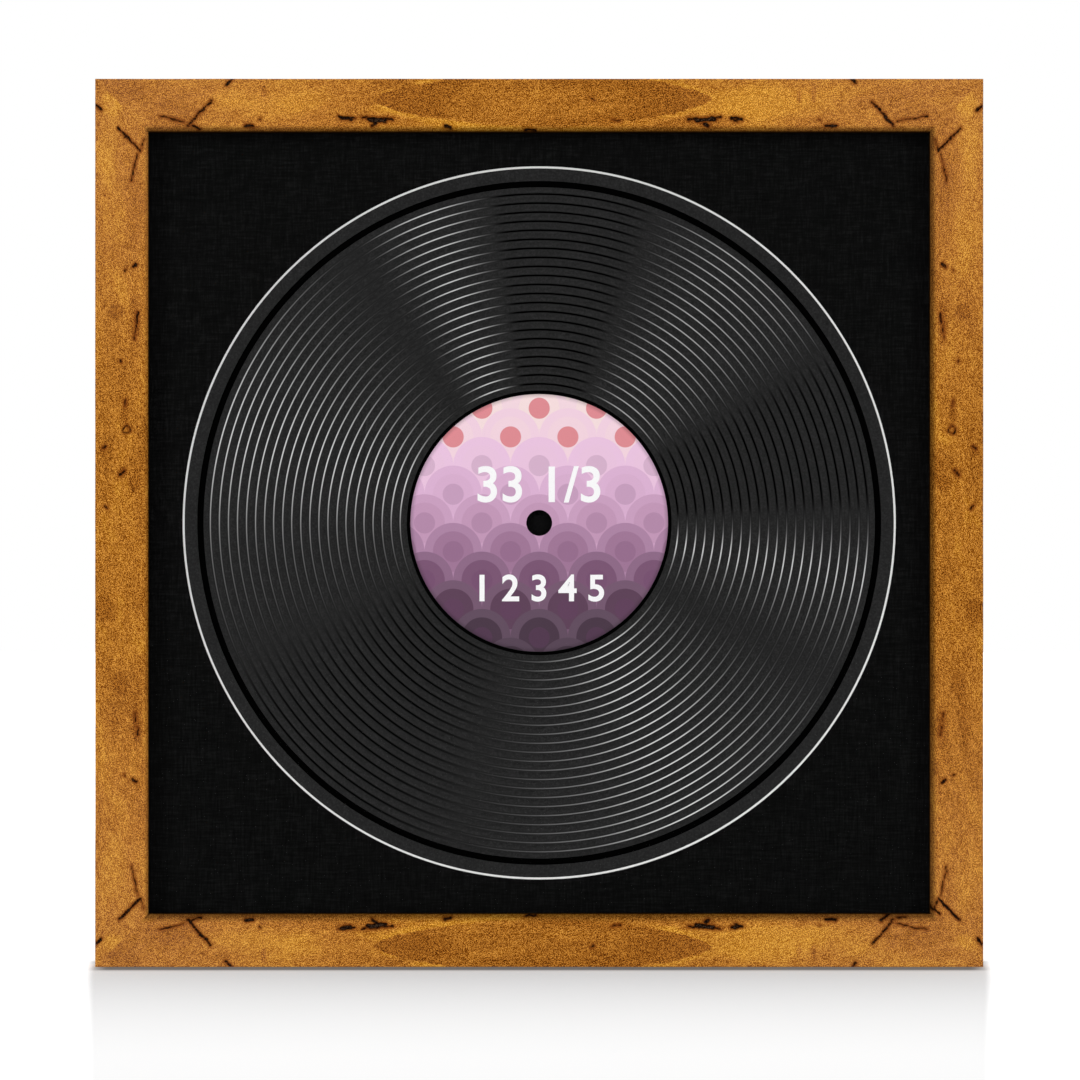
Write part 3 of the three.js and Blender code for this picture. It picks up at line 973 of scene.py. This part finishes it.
def rail_section():
    """Round the upper rail's section as depth and height above the middle, from its outer side's back."""
    rabbet_half = SHEET_HALF + SHEET_CLEARANCE
    outer_turn = (FRONT + OUTER_EDGE_RADIUS, OUTER_HALF - OUTER_EDGE_RADIUS)
    sight_turn = (FRONT + SIGHT_EDGE_RADIUS, SIGHT_HALF + SIGHT_EDGE_RADIUS)
    points = stretch((RAIL_BACK, OUTER_HALF), (outer_turn[0], OUTER_HALF), SIDE_STEP)
    points += corner_arc(outer_turn, OUTER_EDGE_RADIUS, 90, 180, EDGE_ARC_STEPS)
    points += stretch((FRONT, outer_turn[1]), (FRONT, sight_turn[1]), FACE_STEP)
    points += corner_arc(sight_turn, SIGHT_EDGE_RADIUS, 180, 270, SIGHT_ARC_STEPS)
    points += stretch((sight_turn[0], SIGHT_HALF), (GLAZING_FRONT, SIGHT_HALF), SIDE_STEP)
    points += stretch((GLAZING_FRONT, SIGHT_HALF), (GLAZING_FRONT, rabbet_half), BACK_STEP)
    points += stretch((GLAZING_FRONT, rabbet_half), (RAIL_BACK, rabbet_half), BACK_STEP)
    points += stretch((RAIL_BACK, rabbet_half), (RAIL_BACK, OUTER_HALF), BACK_STEP)
    return np.array(points)


def inward(section):
    """The way into the wood at each point of the section, as depth and height."""
    tangent = np.roll(section, -1, axis=0) - np.roll(section, 1, axis=0)
    tangent /= np.linalg.norm(tangent, axis=1)[:, None]
    return -tangent[:, 1], tangent[:, 0]


def unrolled(depth, height):
    """How far each point lies in from the outer edge, over the face, with the sides folded flat."""
    across = np.where(height > OUTER_HALF - HAIRLINE, FRONT - depth, OUTER_HALF - height)
    return np.where(height < SIGHT_HALF + HAIRLINE, FACE_WIDTH + depth - FRONT, across)


def wander(along, across, wave, seed):
    """How far the marks and the grain wander, in long waves and short ones."""
    far = patchy(along, across, wave, seed) * WAVE_REACH
    return far + patchy(along, across, SHORT_WAVE, seed + 1) * SHORT_REACH


def stroke_field(along, across, strokes):
    """How far inside the nearest crack or knot each point lies, or outside it as a minus."""
    field = np.full(along.shape, -MARK_REACH)
    for x1, c1, x2, c2, width in strokes:
        start = np.array([x1 * OUTER_HALF, c1 * FACE_WIDTH])
        run = np.array([x2 * OUTER_HALF, c2 * FACE_WIDTH]) - start
        share = ((along - start[0]) * run[0] + (across - start[1]) * run[1]) / (run @ run)
        share = np.clip(share, 0.0, 1.0)
        distance = np.hypot(along - start[0] - share * run[0], across - start[1] - share * run[1])
        field = np.maximum(field, width / 2 - distance)
    return field


def ring_field(along, across):
    x, c = RING_KNOT_SHARES[0] * OUTER_HALF, RING_KNOT_SHARES[1] * FACE_WIDTH
    distance = np.abs(np.hypot(along - x, across - c) - RING_KNOT_RADIUS)
    return HAIR / 2 - distance


def patch_tone(along, across, patches):
    tone = np.zeros(along.shape)
    for middle, height, half_length, half_width, strength in patches:
        u = (along / OUTER_HALF - middle) / half_length
        v = (across / FACE_WIDTH - height) / half_width
        tone += strength * (1 - smooth_step(*PATCH_EDGE_SHARES, np.hypot(u, v)))
    return tone


def heart_tone(along, across):
    """A long pointed oval of darker grain, darkest inside its two points, with a light rim."""
    first, last = HEART_SHARES
    share = (along / OUTER_HALF - first) / (last - first)
    inner = np.clip(share, 0.0, 1.0)
    start, end = HEART_MIDDLE_SHARES
    middle = start + (end - start) * inner
    half = HEART_WIDTH_SHARE * np.sin(np.pi * inner) ** HEART_FULLNESS + HEART_LEAST_SHARE
    reach = np.abs(across / FACE_WIDTH - middle) / half
    inside = 1 - smooth_step(*HEART_EDGE_SHARES, reach)
    rim = smooth_step(*HEART_RIM_START_SHARES, reach) * (1 - smooth_step(*HEART_RIM_END_SHARES, reach))
    towards_points = np.abs(inner - 0.5) * 2
    rings = 0.5 - 0.5 * np.cos(2 * np.pi * HEART_RINGS * np.clip(reach, 0.0, 1.0))
    dark = HEART_TONE + HEART_POINT_TONE * smooth_step(*HEART_POINT_SHARES, towards_points)
    dark = dark + HEART_RING_TONE * rings * smooth_step(*HEART_RING_SHARES, towards_points)
    return (inside * dark + rim * HEART_RIM_TONE) * (share > 0) * (share < 1)


def stain_of(side, depth, height):
    """How dark the painted shade is, which grows over the face towards the sight edge and covers the lip."""
    end, span, limit, black_reach = SIGHT_SHADES[side]
    from_sight = height - SIGHT_HALF
    stain = np.clip((end - from_sight) / span, 0.0, limit)
    stain += (LIP_SHADE - limit) * np.clip(1 - from_sight / black_reach, 0.0, 1.0)
    stain = np.where(depth > FRONT + SIGHT_EDGE_RADIUS, LIP_SHADE * (from_sight < EDGE_HAIR), stain)
    return stain * (depth < GLAZING_FRONT + EDGE_HAIR)


def rawness(depth, height):
    """Where the wood is raw: in the rabbet, and on the back but for a little finish run over the edge."""
    in_rabbet = (height > SIGHT_HALF + HAIRLINE) & (height < SHEET_HALF + SHEET_CLEARANCE + HAIRLINE)
    in_rabbet = in_rabbet & (depth > GLAZING_FRONT - HAIRLINE)
    on_back = smooth_step(0.0, STAIN_OVERRUN, OUTER_HALF - height)
    return np.where(depth > RAIL_BACK - EDGE_HAIR, on_back, in_rabbet)


def keep_values(piece, shape, **values):
    """Keeps values at the piece's points, as numbers or, for what has three at each point, as vectors."""
    for name, value in values.items():
        vector = np.ndim(value) > len(shape)
        layer = piece.data.attributes.new(name, "FLOAT_VECTOR" if vector else "FLOAT", "POINT")
        value = value if vector else np.broadcast_to(value, shape)
        value = np.ascontiguousarray(value, dtype=np.float32).ravel()
        layer.data.foreach_set("vector" if vector else "value", value)


def carved_rail(side, quarter_turns, way, material, strokes, patches):
    """One mitred rail with its cracks and knots cut into it, and its tones kept at its points."""
    section = rail_section()
    depth, height = section.T
    share = np.linspace(-1.0, 1.0, round(2 * OUTER_HALF / STATION_STEP) + 1)[:, None]
    along = share * (height - MITRE_GAP)
    across = np.broadcast_to(unrolled(depth, height), along.shape)
    seed = quarter_turns * SEEDS_PER_RAIL
    marks_along = way * (along + wander(along, across, LONG_WAVE, seed))
    marks_across = across + wander(along, across, CROSS_WAVE, seed + 2)
    field = stroke_field(marks_along, marks_across, strokes)
    tone = patch_tone(way * along, across, patches)
    if side in ("left", "right"):
        field = np.maximum(field, ring_field(marks_along, marks_across))
    else:
        tone = tone + heart_tone(marks_along, marks_across)
    tone = tone + patchy(along * TONE_LENGTHENING, across, TONE_CELL, seed + 5) * TONE_UNEVENNESS
    uneven = patchy(along, across, UNEVEN_CELL, seed + 4) + 0.5
    cut = MARK_DEPTH * smooth_step(-MARK_SOFTNESS / 2, MARK_SOFTNESS, field) + FACE_UNEVENNESS * uneven
    cut = cut * (across > -MARK_REACH * 2) * (across < FACE_WIDTH + MARK_REACH)
    cut = cut * (depth < GLAZING_FRONT - EDGE_HAIR)
    into_depth, into_height = inward(section)
    y, z = depth + cut * into_depth, height + cut * into_height
    points = np.stack([share * (z - MITRE_GAP), y, z], axis=2)
    piece = skinned("carved_rail_" + side, points, "capped", sharp_degrees=50.0)
    layers = depth - FRONT + quarter_turns * OUTER_HALF + along * ALONG_SLANT + across * ACROSS_SLANT
    keep_values(
        piece,
        along.shape,
        mark=np.clip(field, -MARK_REACH, MARK_REACH) / MM,
        tone=tone,
        ruddy=smooth_step(RUDDY_FROM_SHARE, RUDDY_BY_SHARE, np.abs(along) / OUTER_HALF),
        # the painted shade at the sight edge and on the lip
        stain=stain_of(side, depth, height),
        raw=rawness(depth, height),
        grain=np.stack([along, across, layers], axis=2),
    )
    placed(piece, about_centre(quarter_turns))
    dressed(piece, material, "wood", "rail_" + side)


def carved_rails():
    """The four rails. The lower and the right one mirror the marks of those across, and have some more."""
    material = wood_material()
    bottom = TOP_STROKE_SHARES + BOTTOM_STROKE_SHARES
    right = LEFT_STROKE_SHARES + RIGHT_STROKE_SHARES
    carved_rail("top", 0, 1, material, TOP_STROKE_SHARES, TOP_PATCH_SHARES)
    carved_rail("right", 1, -1, material, right, LEFT_PATCH_SHARES)
    carved_rail("bottom", 2, -1, material, bottom, TOP_PATCH_SHARES)
    carved_rail("left", 3, 1, material, LEFT_STROKE_SHARES, LEFT_PATCH_SHARES)


# The mat
def square_loop(half, depth, segments):
    """Points round a square at even turns, so that they face the points of a circle."""
    loop = []
    for x, _, z in circle(1.0, depth, segments):
        reach = half / max(abs(x), abs(z))
        loop.append((x * reach, depth, z * reach))
    return loop


def windowed_sheet(name, front, back, front_radius, back_radius):
    loops = [
        circle(front_radius, front, MAT_SEGMENTS),
        square_loop(SHEET_HALF, front, MAT_SEGMENTS),
        square_loop(SHEET_HALF, back, MAT_SEGMENTS),
        circle(back_radius, back, MAT_SEGMENTS),
    ]
    return placed(skinned(name, loops, "joined"), about_centre(0))


def mat():
    """Black linen paper over a white core, with the window's slope through both."""
    window_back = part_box("record_disc")[1].x - WINDOW_OVERLAP
    paper_low, paper_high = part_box("mat_face_paper")
    core_low, core_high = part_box("mat_core")
    core_front = window_back + (core_high.y - core_low.y)
    paper_front = core_front + (paper_high.y - paper_low.y)
    paper = windowed_sheet("mat_linen_face", paper_low.y, paper_high.y, paper_front, core_front)
    dressed(paper, linen_material(), "mat_face", "mat_face_paper")
    core = windowed_sheet("mat_bevelled_core", core_low.y, core_high.y, core_front, window_back)
    white = board_material("white_core", (232, 232, 230), (244, 244, 242), "paper", 0.9, "core", 0.1)
    dressed(core, white, "mat_core", "mat_core")


# The record
def groove_profile(front):
    """Radius and depth over the front of the disc, from its label to its edge."""
    points = []

    def hollow(middle, width, depth):
        for i in range(GROOVE_STEPS + 1):
            share = i / GROOVE_STEPS - 0.5
            drop = depth * (1 + math.cos(2 * math.pi * share)) / 2
            points.append((middle + share * width, front + drop))

    hollow(LABEL_RING_RADIUS, LABEL_RING_WIDTH, GROOVE_DEPTH)
    for ring in range(GROOVE_COUNT):
        hollow(INNER_GROOVE_RADIUS + ring * GROOVE_PITCH, GROOVE_WIDTH, GROOVE_DEPTH)
    inner, outer = RIM_BAND_RADIUS - RIM_BAND_WIDTH / 2, RIM_BAND_RADIUS + RIM_BAND_WIDTH / 2
    sunk = front + RIM_BAND_DEPTH
    points += [(inner, front), (inner + RIM_BAND_SLOPE, sunk), (outer - RIM_BAND_SLOPE, sunk)]
    return points + [(outer, front)]


def record():
    """The disc and the label on its front. Gives back how deep the label's face lies."""
    low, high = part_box("record_disc")
    label_low, label_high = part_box("record_label_front")
    radius = high.x
    profile = [(HOLE_RADIUS, low.y)] + groove_profile(low.y)
    profile += [(radius - RECORD_EDGE, low.y), (radius, low.y + RECORD_EDGE), (radius, high.y - RECORD_EDGE)]
    profile += [(radius - RECORD_EDGE, high.y), (HOLE_RADIUS, high.y)]
    disc = placed(turned("grooved_record", profile, RECORD_SEGMENTS), about_centre(0))
    dressed(disc, vinyl_material(), "vinyl", "record_disc")
    soft = (label_high.y - label_low.y) * LABEL_EDGE_SHARE
    half = label_high.x
    profile = [
        (HOLE_RADIUS, label_low.y + soft), (HOLE_RADIUS + soft, label_low.y), (half - soft, label_low.y),
        (half, label_low.y + soft), (half, label_high.y), (HOLE_RADIUS, label_high.y),
    ]
    label = placed(turned("printed_label", profile, LABEL_SEGMENTS), about_centre(0))
    dressed(label, label_material(), "label", "record_label_front")
    return label_low.y


def number_row(name, text, size, foot, front, material):
    """A row of plain numbers, printed white and a hair thick."""
    curve = bpy.data.curves.new(name, "FONT")
    curve.body = text
    curve.size = size
    curve.align_x = "CENTER"
    curve.extrude = NUMBER_THICKNESS
    curve.offset = NUMBER_BOLDNESS
    writing = added(name + "_curve", curve)
    bpy.context.view_layer.update()
    mesh = bpy.data.meshes.new_from_object(writing.evaluated_get(bpy.context.evaluated_depsgraph_get()))
    bpy.data.objects.remove(writing)
    turn = Matrix.Rotation(math.pi / 2, 4, "X")
    matrix = Matrix.Translation((0.0, front - NUMBER_THICKNESS, CENTRE.z + foot)) @ turn
    dressed(placed(added(name, mesh), matrix), material, "label")


def numbers(front):
    ink = board_material("white_ink", (248, 246, 248), (255, 255, 255), "pulp", 0.5, "paper")
    number_row("upper_number", UPPER_NUMBER, UPPER_NUMBER_SIZE, UPPER_NUMBER_FOOT, front, ink)
    number_row("lower_numbers", LOWER_NUMBERS, LOWER_NUMBER_SIZE, LOWER_NUMBER_FOOT, front, ink)


# The metal parts and bumpers on the back
def keyhole_loop(inset, depth):
    """The turn button's outline drawn in by an inset, round head at the pivot and tip downwards."""
    head, tip = BUTTON_HEAD_RADIUS - inset, BUTTON_TIP_RADIUS - inset
    drop = BUTTON_REACH - BUTTON_TIP_RADIUS
    lean = math.asin((BUTTON_HEAD_RADIUS - BUTTON_TIP_RADIUS) / drop)
    half = BUTTON_SEGMENTS // 2
    loop = []
    for radius, first, sweep, fall in (
        (head, -lean, math.pi + 2 * lean, 0.0),
        (tip, math.pi + lean, math.pi - 2 * lean, drop),
    ):
        for i in range(half):
            turn = first + sweep * i / (half - 1)
            loop.append((radius * math.cos(turn), depth, radius * math.sin(turn) - fall))
    return loop


def between(first, second, share, depth):
    """A loop at a share of the way from one loop to another."""
    pairs = zip(first, second)
    return [(a[0] + (b[0] - a[0]) * share, depth, a[2] + (b[2] - a[2]) * share) for a, b in pairs]


def hole_loop(outline, radius, depth):
    """A round loop whose points face those of the outline."""
    shares = [radius / math.hypot(x, z) for x, _, z in outline]
    return [(x * share, depth, z * share) for (x, _, z), share in zip(outline, shares)]


def stamped_button(place, matrix, material):
    """A flat button with a low rim pressed up round its edge and round its hole."""
    low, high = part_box("turn_button_" + place)
    front, back = low.y, high.y
    outline = keyhole_loop(BUTTON_EDGE, back)
    hole = hole_loop(outline, BUTTON_HOLE_RADIUS, back)
    loops = [
        keyhole_loop(BUTTON_EDGE, front),
        keyhole_loop(0.0, front + BUTTON_EDGE),
        keyhole_loop(0.0, back - BUTTON_EDGE),
        outline,
    ]
    sunk = back - BUTTON_RIM_HEIGHT
    for share, depth in zip(BUTTON_RIM_SHARES, (back, sunk, sunk, back)):
        loops.append(between(outline, hole, share, depth))
    loops += [hole, hole_loop(outline, BUTTON_HOLE_RADIUS, front)]
    piece = placed(skinned("stamped_button_" + place, loops, "joined", sharp_degrees=40.0), matrix)
    dressed(piece, material, "zinc", "turn_button_" + place, body="button_" + place)


def recess_depth(x, z):
    """How deep the cross recess is at a place on the screw head."""
    deepest = 0.0
    for a, b in ((x, z), (z, x)):
        side = RECESS_WIDTH / 2 - abs(b)
        end = RECESS_LENGTH / 2 - abs(a)
        near = min(side, end * RECESS_END_SHARE) / RECESS_SLOPE
        deepest = max(deepest, RECESS_DEPTH * min(1.0, max(0.0, near)))
    return deepest


def thread_loops(point, top):
    """The screw's thread as steps of a narrowing and widening shank, thinner over its first turns."""
    root, crest = SCREW_THREAD_SHARES
    core = SCREW_SHANK_RADIUS - SCREW_THREAD_DEPTH
    loops = [circle(0.0, point)]
    for i in range(int((top - point) / SCREW_THREAD_PITCH)):
        start = point + i * SCREW_THREAD_PITCH
        taper = min(1.0, (i + SCREW_POINT_START) / SCREW_POINT_TURNS)
        loops.append(circle(core * taper, start + SCREW_THREAD_PITCH * root))
        loops.append(circle(SCREW_SHANK_RADIUS * taper, start + SCREW_THREAD_PITCH * crest))
    return loops + [circle(core, top)]


def pan_screw(place, matrix, turn, material):
    """A pan head screw: thread, head and a cross recess cut into the dome."""
    low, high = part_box("button_screw_" + place)
    head_front = high.y - SCREW_HEAD_HEIGHT
    head_radius = (high.x - low.x) / 2
    loops = thread_loops(low.y, head_front)
    loops.append(circle(head_radius - BUTTON_EDGE / 2, head_front))
    loops.append(circle(head_radius, head_front + BUTTON_EDGE))
    for i in range(SCREW_HEAD_RINGS + 1):
        radius = head_radius * (1 - i / SCREW_HEAD_RINGS)
        rise = math.sqrt(max(0.0, 1 - (radius / head_radius) ** SCREW_HEAD_FULLNESS))
        surface = head_front + SCREW_HEAD_RIM + (SCREW_HEAD_HEIGHT - SCREW_HEAD_RIM) * rise
        ring = circle(radius, surface)
        loops.append([(x, y - recess_depth(x, z), z) for x, y, z in ring])
    piece = skinned("pan_screw_" + place, loops, "open", sharp_degrees=40.0)
    turned_outward(piece.data, weld=True)
    placed(piece, matrix @ Matrix.Rotation(turn, 4, "Y"))
    dressed(piece, material, "zinc", "button_screw_" + place)


def turn_buttons(zinc):
    places = [(quarter, f"{side}_{number}") for quarter, side in enumerate(SIDES) for number in (1, 2)]
    turns = np.random.default_rng(SCREW_TURN_SEED).random(len(places)) * math.pi
    for (quarter, place), turn in zip(places, turns):
        low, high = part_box("button_screw_" + place)
        matrix = at_middle(low, high) @ Matrix.Rotation(quarter * math.pi / 2, 4, "Y")
        stamped_button(place, matrix, zinc)
        pan_screw(place, matrix, float(turn), zinc)


def v_nails(zinc):
    """Thin V strips pressed in across the mitres, with their edges a hair proud of the wood."""
    for quarter, corner in enumerate(CORNERS):
        for number in (1, 2):
            node = f"v_nail_{corner}_{number}"
            low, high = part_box(node)
            tip = max(abs(low.x), abs(high.x))
            tail, inner = tip - V_NAIL_LEG, tip - V_NAIL_GAUGE
            outline = [(tip, tip), (tail, tip), (tail, inner), (inner, inner), (inner, tail), (tip, tail)]
            loops = [[(x, y, z) for x, z in outline] for y in (low.y, high.y + V_NAIL_PROUD)]
            piece = placed(skinned("pressed_" + node, loops, "capped"), about_centre(quarter))
            dressed(piece, zinc, "zinc", node)


def hanger_path(half, foot, raised):
    """Places along the bent strip with their depth, eased at the bends."""
    count = round(2 * half / (TOOTH_PITCH / TOOTH_STEPS))
    bend, top = half - HANGER_FOOT, half - HANGER_FOOT - HANGER_RAMP
    path = []
    for i in range(count + 1):
        x = -half + 2 * half * i / count
        share = smooth_step(top - HANGER_BEND / 2, bend + HANGER_BEND / 2, abs(x))
        path.append((x, raised + (foot - raised) * float(share)))
    return path


def tooth_rise(x, raised_half):
    """How far the saw-tooth edge stands above the strip's lower edge."""
    if abs(x) > raised_half:
        return 0.0
    share = (x / TOOTH_PITCH + 0.5 * (round(2 * raised_half / TOOTH_PITCH) % 2)) % 1.0
    return TOOTH_DEPTH * (1 - abs(2 * share - 1))


def hanger(brass):
    """A bent strip with a toothed lower edge and rounded corners, held by two nails."""
    low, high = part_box("hanger")
    half = high.x
    raised_half = half - HANGER_FOOT - HANGER_RAMP
    raised_half = math.floor(2 * raised_half / TOOTH_PITCH) * TOOTH_PITCH / 2
    edge = HANGER_EDGE
    loops = []
    for x, front in hanger_path(half, low.y, high.y - HANGER_GAUGE):
        corner = min(1.0, max(0.0, abs(x) - (half - HANGER_CORNER_LENGTH)) / HANGER_CORNER_LENGTH)
        pinch = HANGER_CORNER_WIDTH * (1 - math.sqrt(1 - corner * corner))
        bottom, top = low.z + tooth_rise(x, raised_half) + pinch, high.z - pinch
        back = front + HANGER_GAUGE
        loops.append([
            (x, front + edge, bottom), (x, back - edge, bottom),
            (x, back, bottom + edge), (x, back, top - edge),
            (x, back - edge, top), (x, front + edge, top),
            (x, front, top - edge), (x, front, bottom + edge),
        ])
    piece = skinned("sawtooth_strip", loops, "capped", sharp_degrees=40.0)
    dressed(piece, brass, "brass_plate", "hanger")
    for number in (1, 2):
        hanger_nail(f"hanger_nail_{number}", brass)


def hanger_nail(node, brass):
    low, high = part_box(node)
    radius = (high.x - low.x) / 2
    head, rim = high.y - NAIL_HEAD_HEIGHT, high.y - NAIL_HEAD_HEIGHT + NAIL_RIM_HEIGHT
    profile = [(0.0, low.y), (NAIL_SHANK_RADIUS, low.y + 2 * NAIL_SHANK_RADIUS), (NAIL_SHANK_RADIUS, head)]
    profile.append((radius * NAIL_RIM_SHARE, head))
    profile += quarter_oval(0.0, rim, radius, high.y - rim, NAIL_DOME_STEPS)
    piece = placed(turned("domed_" + node, profile, ends="open"), at_middle(low, high))
    dressed(piece, brass, "brass_plate", node)


def bumpers():
    rubber = rubber_material()
    foot_edge = BUMPER_EDGE * BUMPER_FOOT_SHARE
    for side in ("left", "right"):
        low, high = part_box("bumper_" + side)
        radius = (high.x - low.x) / 2
        profile = [(0.0, low.y), (radius - foot_edge, low.y), (radius, low.y + foot_edge)]
        middle, depth = radius - BUMPER_EDGE, high.y - BUMPER_EDGE
        profile += quarter_oval(middle, depth, BUMPER_EDGE, BUMPER_EDGE, BUMPER_EDGE_STEPS)
        profile.append((0.0, high.y))
        piece = placed(turned("soft_bumper_" + side, profile, ends="open"), at_middle(low, high))
        dressed(piece, rubber, "rubber", "bumper_" + side)


def plain_sheets():
    """Materials for the solids that keep their own shape."""
    for node, material in (
        ("glazing", glazing_material()),
        ("backing_board", hardboard_material()),
        ("foam_filler", foam_material()),
        ("record_carrier", board_material("off_white_board", (226, 222, 210), (238, 235, 226), "board")),
        ("record_label_back", board_material("plain_label", (168, 126, 160), (190, 146, 184), "pulp", 0.6)),
    ):
        coated(frame["nodes"][node], material)


# The stage
def floor_material():
    """A pale floor, lifted where the camera sees it, with painted light beside and behind the frame and a
    painted shadow at its foot.
    """
    material, tree, shader = new_material("pale_floor")
    x, y, _ = parts_of(object_place(tree))
    far = ramped((x * x + y * y) ** 0.5, FLOOR_WHITE_FROM, FLOOR_WHITE_BY)
    nearness = figure("MAXIMUM", y + (CAMERA_DISTANCE - FRONT), NEAREST_FLOOR) / CAMERA_DISTANCE
    off_middle = figure("ABSOLUTE", x) / nearness
    # Beside the frame, in a band that narrows towards the camera, the floor is painted lighter; at its foot,
    # a painted shadow
    beside = ramped(off_middle, OUTER_HALF, OUTER_HALF + BESIDE_REACH)
    under = ramped(off_middle, OUTER_HALF + CONTACT_FADE, OUTER_HALF - CONTACT_FADE)
    near = ramped(figure("ABSOLUTE", y), -FRONT + CONTACT_REACH, -FRONT + CONTACT_FULL)
    painted_shadow = near * under * CONTACT_SHADOW_SHARE
    fed(shader, Base_Color=mixed(painted_shadow, FLOOR_COLOUR, BLACK), Roughness=1.0, Specular_IOR_Level=0.0)
    # Behind the frame the floor is painted lighter too
    behind = ramped(y, RAIL_BACK, RAIL_BACK + BEHIND_REACH) * BEHIND_LIFT
    lift = (far + behind + FLOOR_LIFT) * (1.0 - painted_shadow) + beside * BESIDE_LIFT
    glow = fed(tree.nodes.new("ShaderNodeEmission"), Strength=lift)
    lit = tree.nodes.new("ShaderNodeAddShader")
    feed(shader.outputs[0], lit.inputs[0])
    feed(glow.outputs[0], lit.inputs[1])
    bounce = fed(tree.nodes.new("ShaderNodeEmission"), Strength=FLOOR_BOUNCE)
    shown(tree, ray(tree, "Camera"), bounce, lit)
    return material


def floor():
    mesh = bpy.data.meshes.new("floor")
    half = FLOOR_SIZE / 2
    corners = [(-half, -half, 0.0), (half, -half, 0.0), (half, half, 0.0), (-half, half, 0.0)]
    mesh.from_pydata(corners, [], [(0, 1, 2, 3)])
    mesh.materials.append(floor_material())
    plane = added("floor", mesh)
    return plane


def world_light():
    """White behind the object, white in mirrors but for the camera's side, and a plain level elsewhere."""
    world = bpy.data.worlds.new("studio")
    bpy.context.scene.world = world
    world.use_nodes = True
    tree = world.node_tree
    _, y, _ = parts_of(tree.nodes.new("ShaderNodeTexCoord").outputs["Generated"])
    mirrored = ray(tree, "Glossy")
    level = WORLD_LEVEL * (1.0 - mirrored) + ramped(y, *CAMERA_SIDE_SHARES) * mirrored
    seen = figure("MAXIMUM", ray(tree, "Camera"), ray(tree, "Transmission"))
    fed(tree.nodes["Background"], Color=WHITE, Strength=seen + level * (1.0 - seen))


def kept_off(floor_plane):
    """A list of what a lamp lights, by which it lights all but the floor."""
    receivers = bpy.data.collections.new("lit_but_floor")
    receivers.objects.link(floor_plane)
    receivers.collection_objects[0].light_linking.link_state = "EXCLUDE"
    return receivers


def lamp(name, place, aim, size, size_y, level):
    """A soft lamp that makes a white surface at its aim, facing it, that bright."""
    data = bpy.data.lights.new(name, "AREA")
    data.shape = "RECTANGLE"
    data.size = size
    data.size_y = size_y
    data.energy = level * math.pi ** 2 * (place - aim).length ** 2
    body = added(name, data)
    body.location = place
    body.rotation_euler = (aim - place).to_track_quat("-Z", "Y").to_euler()
    return body


def lamps(floor_plane):
    """Soft lamps round the front and the back, which leave the floor alone, and a thin strip behind that
    casts the shadow forward."""
    receivers = kept_off(floor_plane)
    for name, turn, tilt, level in LAMPS:
        around, off = math.radians(turn), math.radians(tilt)
        way = Vector((math.sin(off) * math.cos(around), -math.cos(off), math.sin(off) * math.sin(around)))
        body = lamp(name, CENTRE + way * LAMP_DISTANCE, CENTRE, LAMP_SIZE, LAMP_SIZE, level)
        body.light_linking.receiver_collection = receivers
    rise = math.radians(STRIP_ELEVATION)
    place = Vector((0.0, math.cos(rise), math.sin(rise))) * STRIP_DISTANCE
    lamp("strip_lamp", place, Vector((0.0, 0.0, 0.0)), STRIP_WIDTH, STRIP_LENGTH, STRIP_LEVEL)


def camera():
    data = bpy.data.cameras.new("camera")
    data.lens = CAMERA_LENS
    data.sensor_width = CAMERA_SENSOR
    data.clip_end = CAMERA_REACH
    body = added("camera", data)
    body.location = (CAMERA_RIGHT, FRONT - CAMERA_DISTANCE, CENTRE.z - CAMERA_DROP)
    body.rotation_euler = (math.pi / 2, 0.0, 0.0)
    bpy.context.scene.camera = body


camera()
bpy.context.scene.view_settings.view_transform = "Standard"
world_light()
lamps(floor())
plain_sheets()
carved_rails()
mat()
numbers(record())
zinc_plate = metal_material("zinc_plate", (168, 172, 178), (206, 209, 213), 0.30)
brass_plate = metal_material("brass_plate", (186, 142, 64), (222, 182, 96), 0.36, (0.1, 1.0, 1.0))
turn_buttons(zinc_plate)
v_nails(zinc_plate)
hanger(brass_plate)
bumpers()
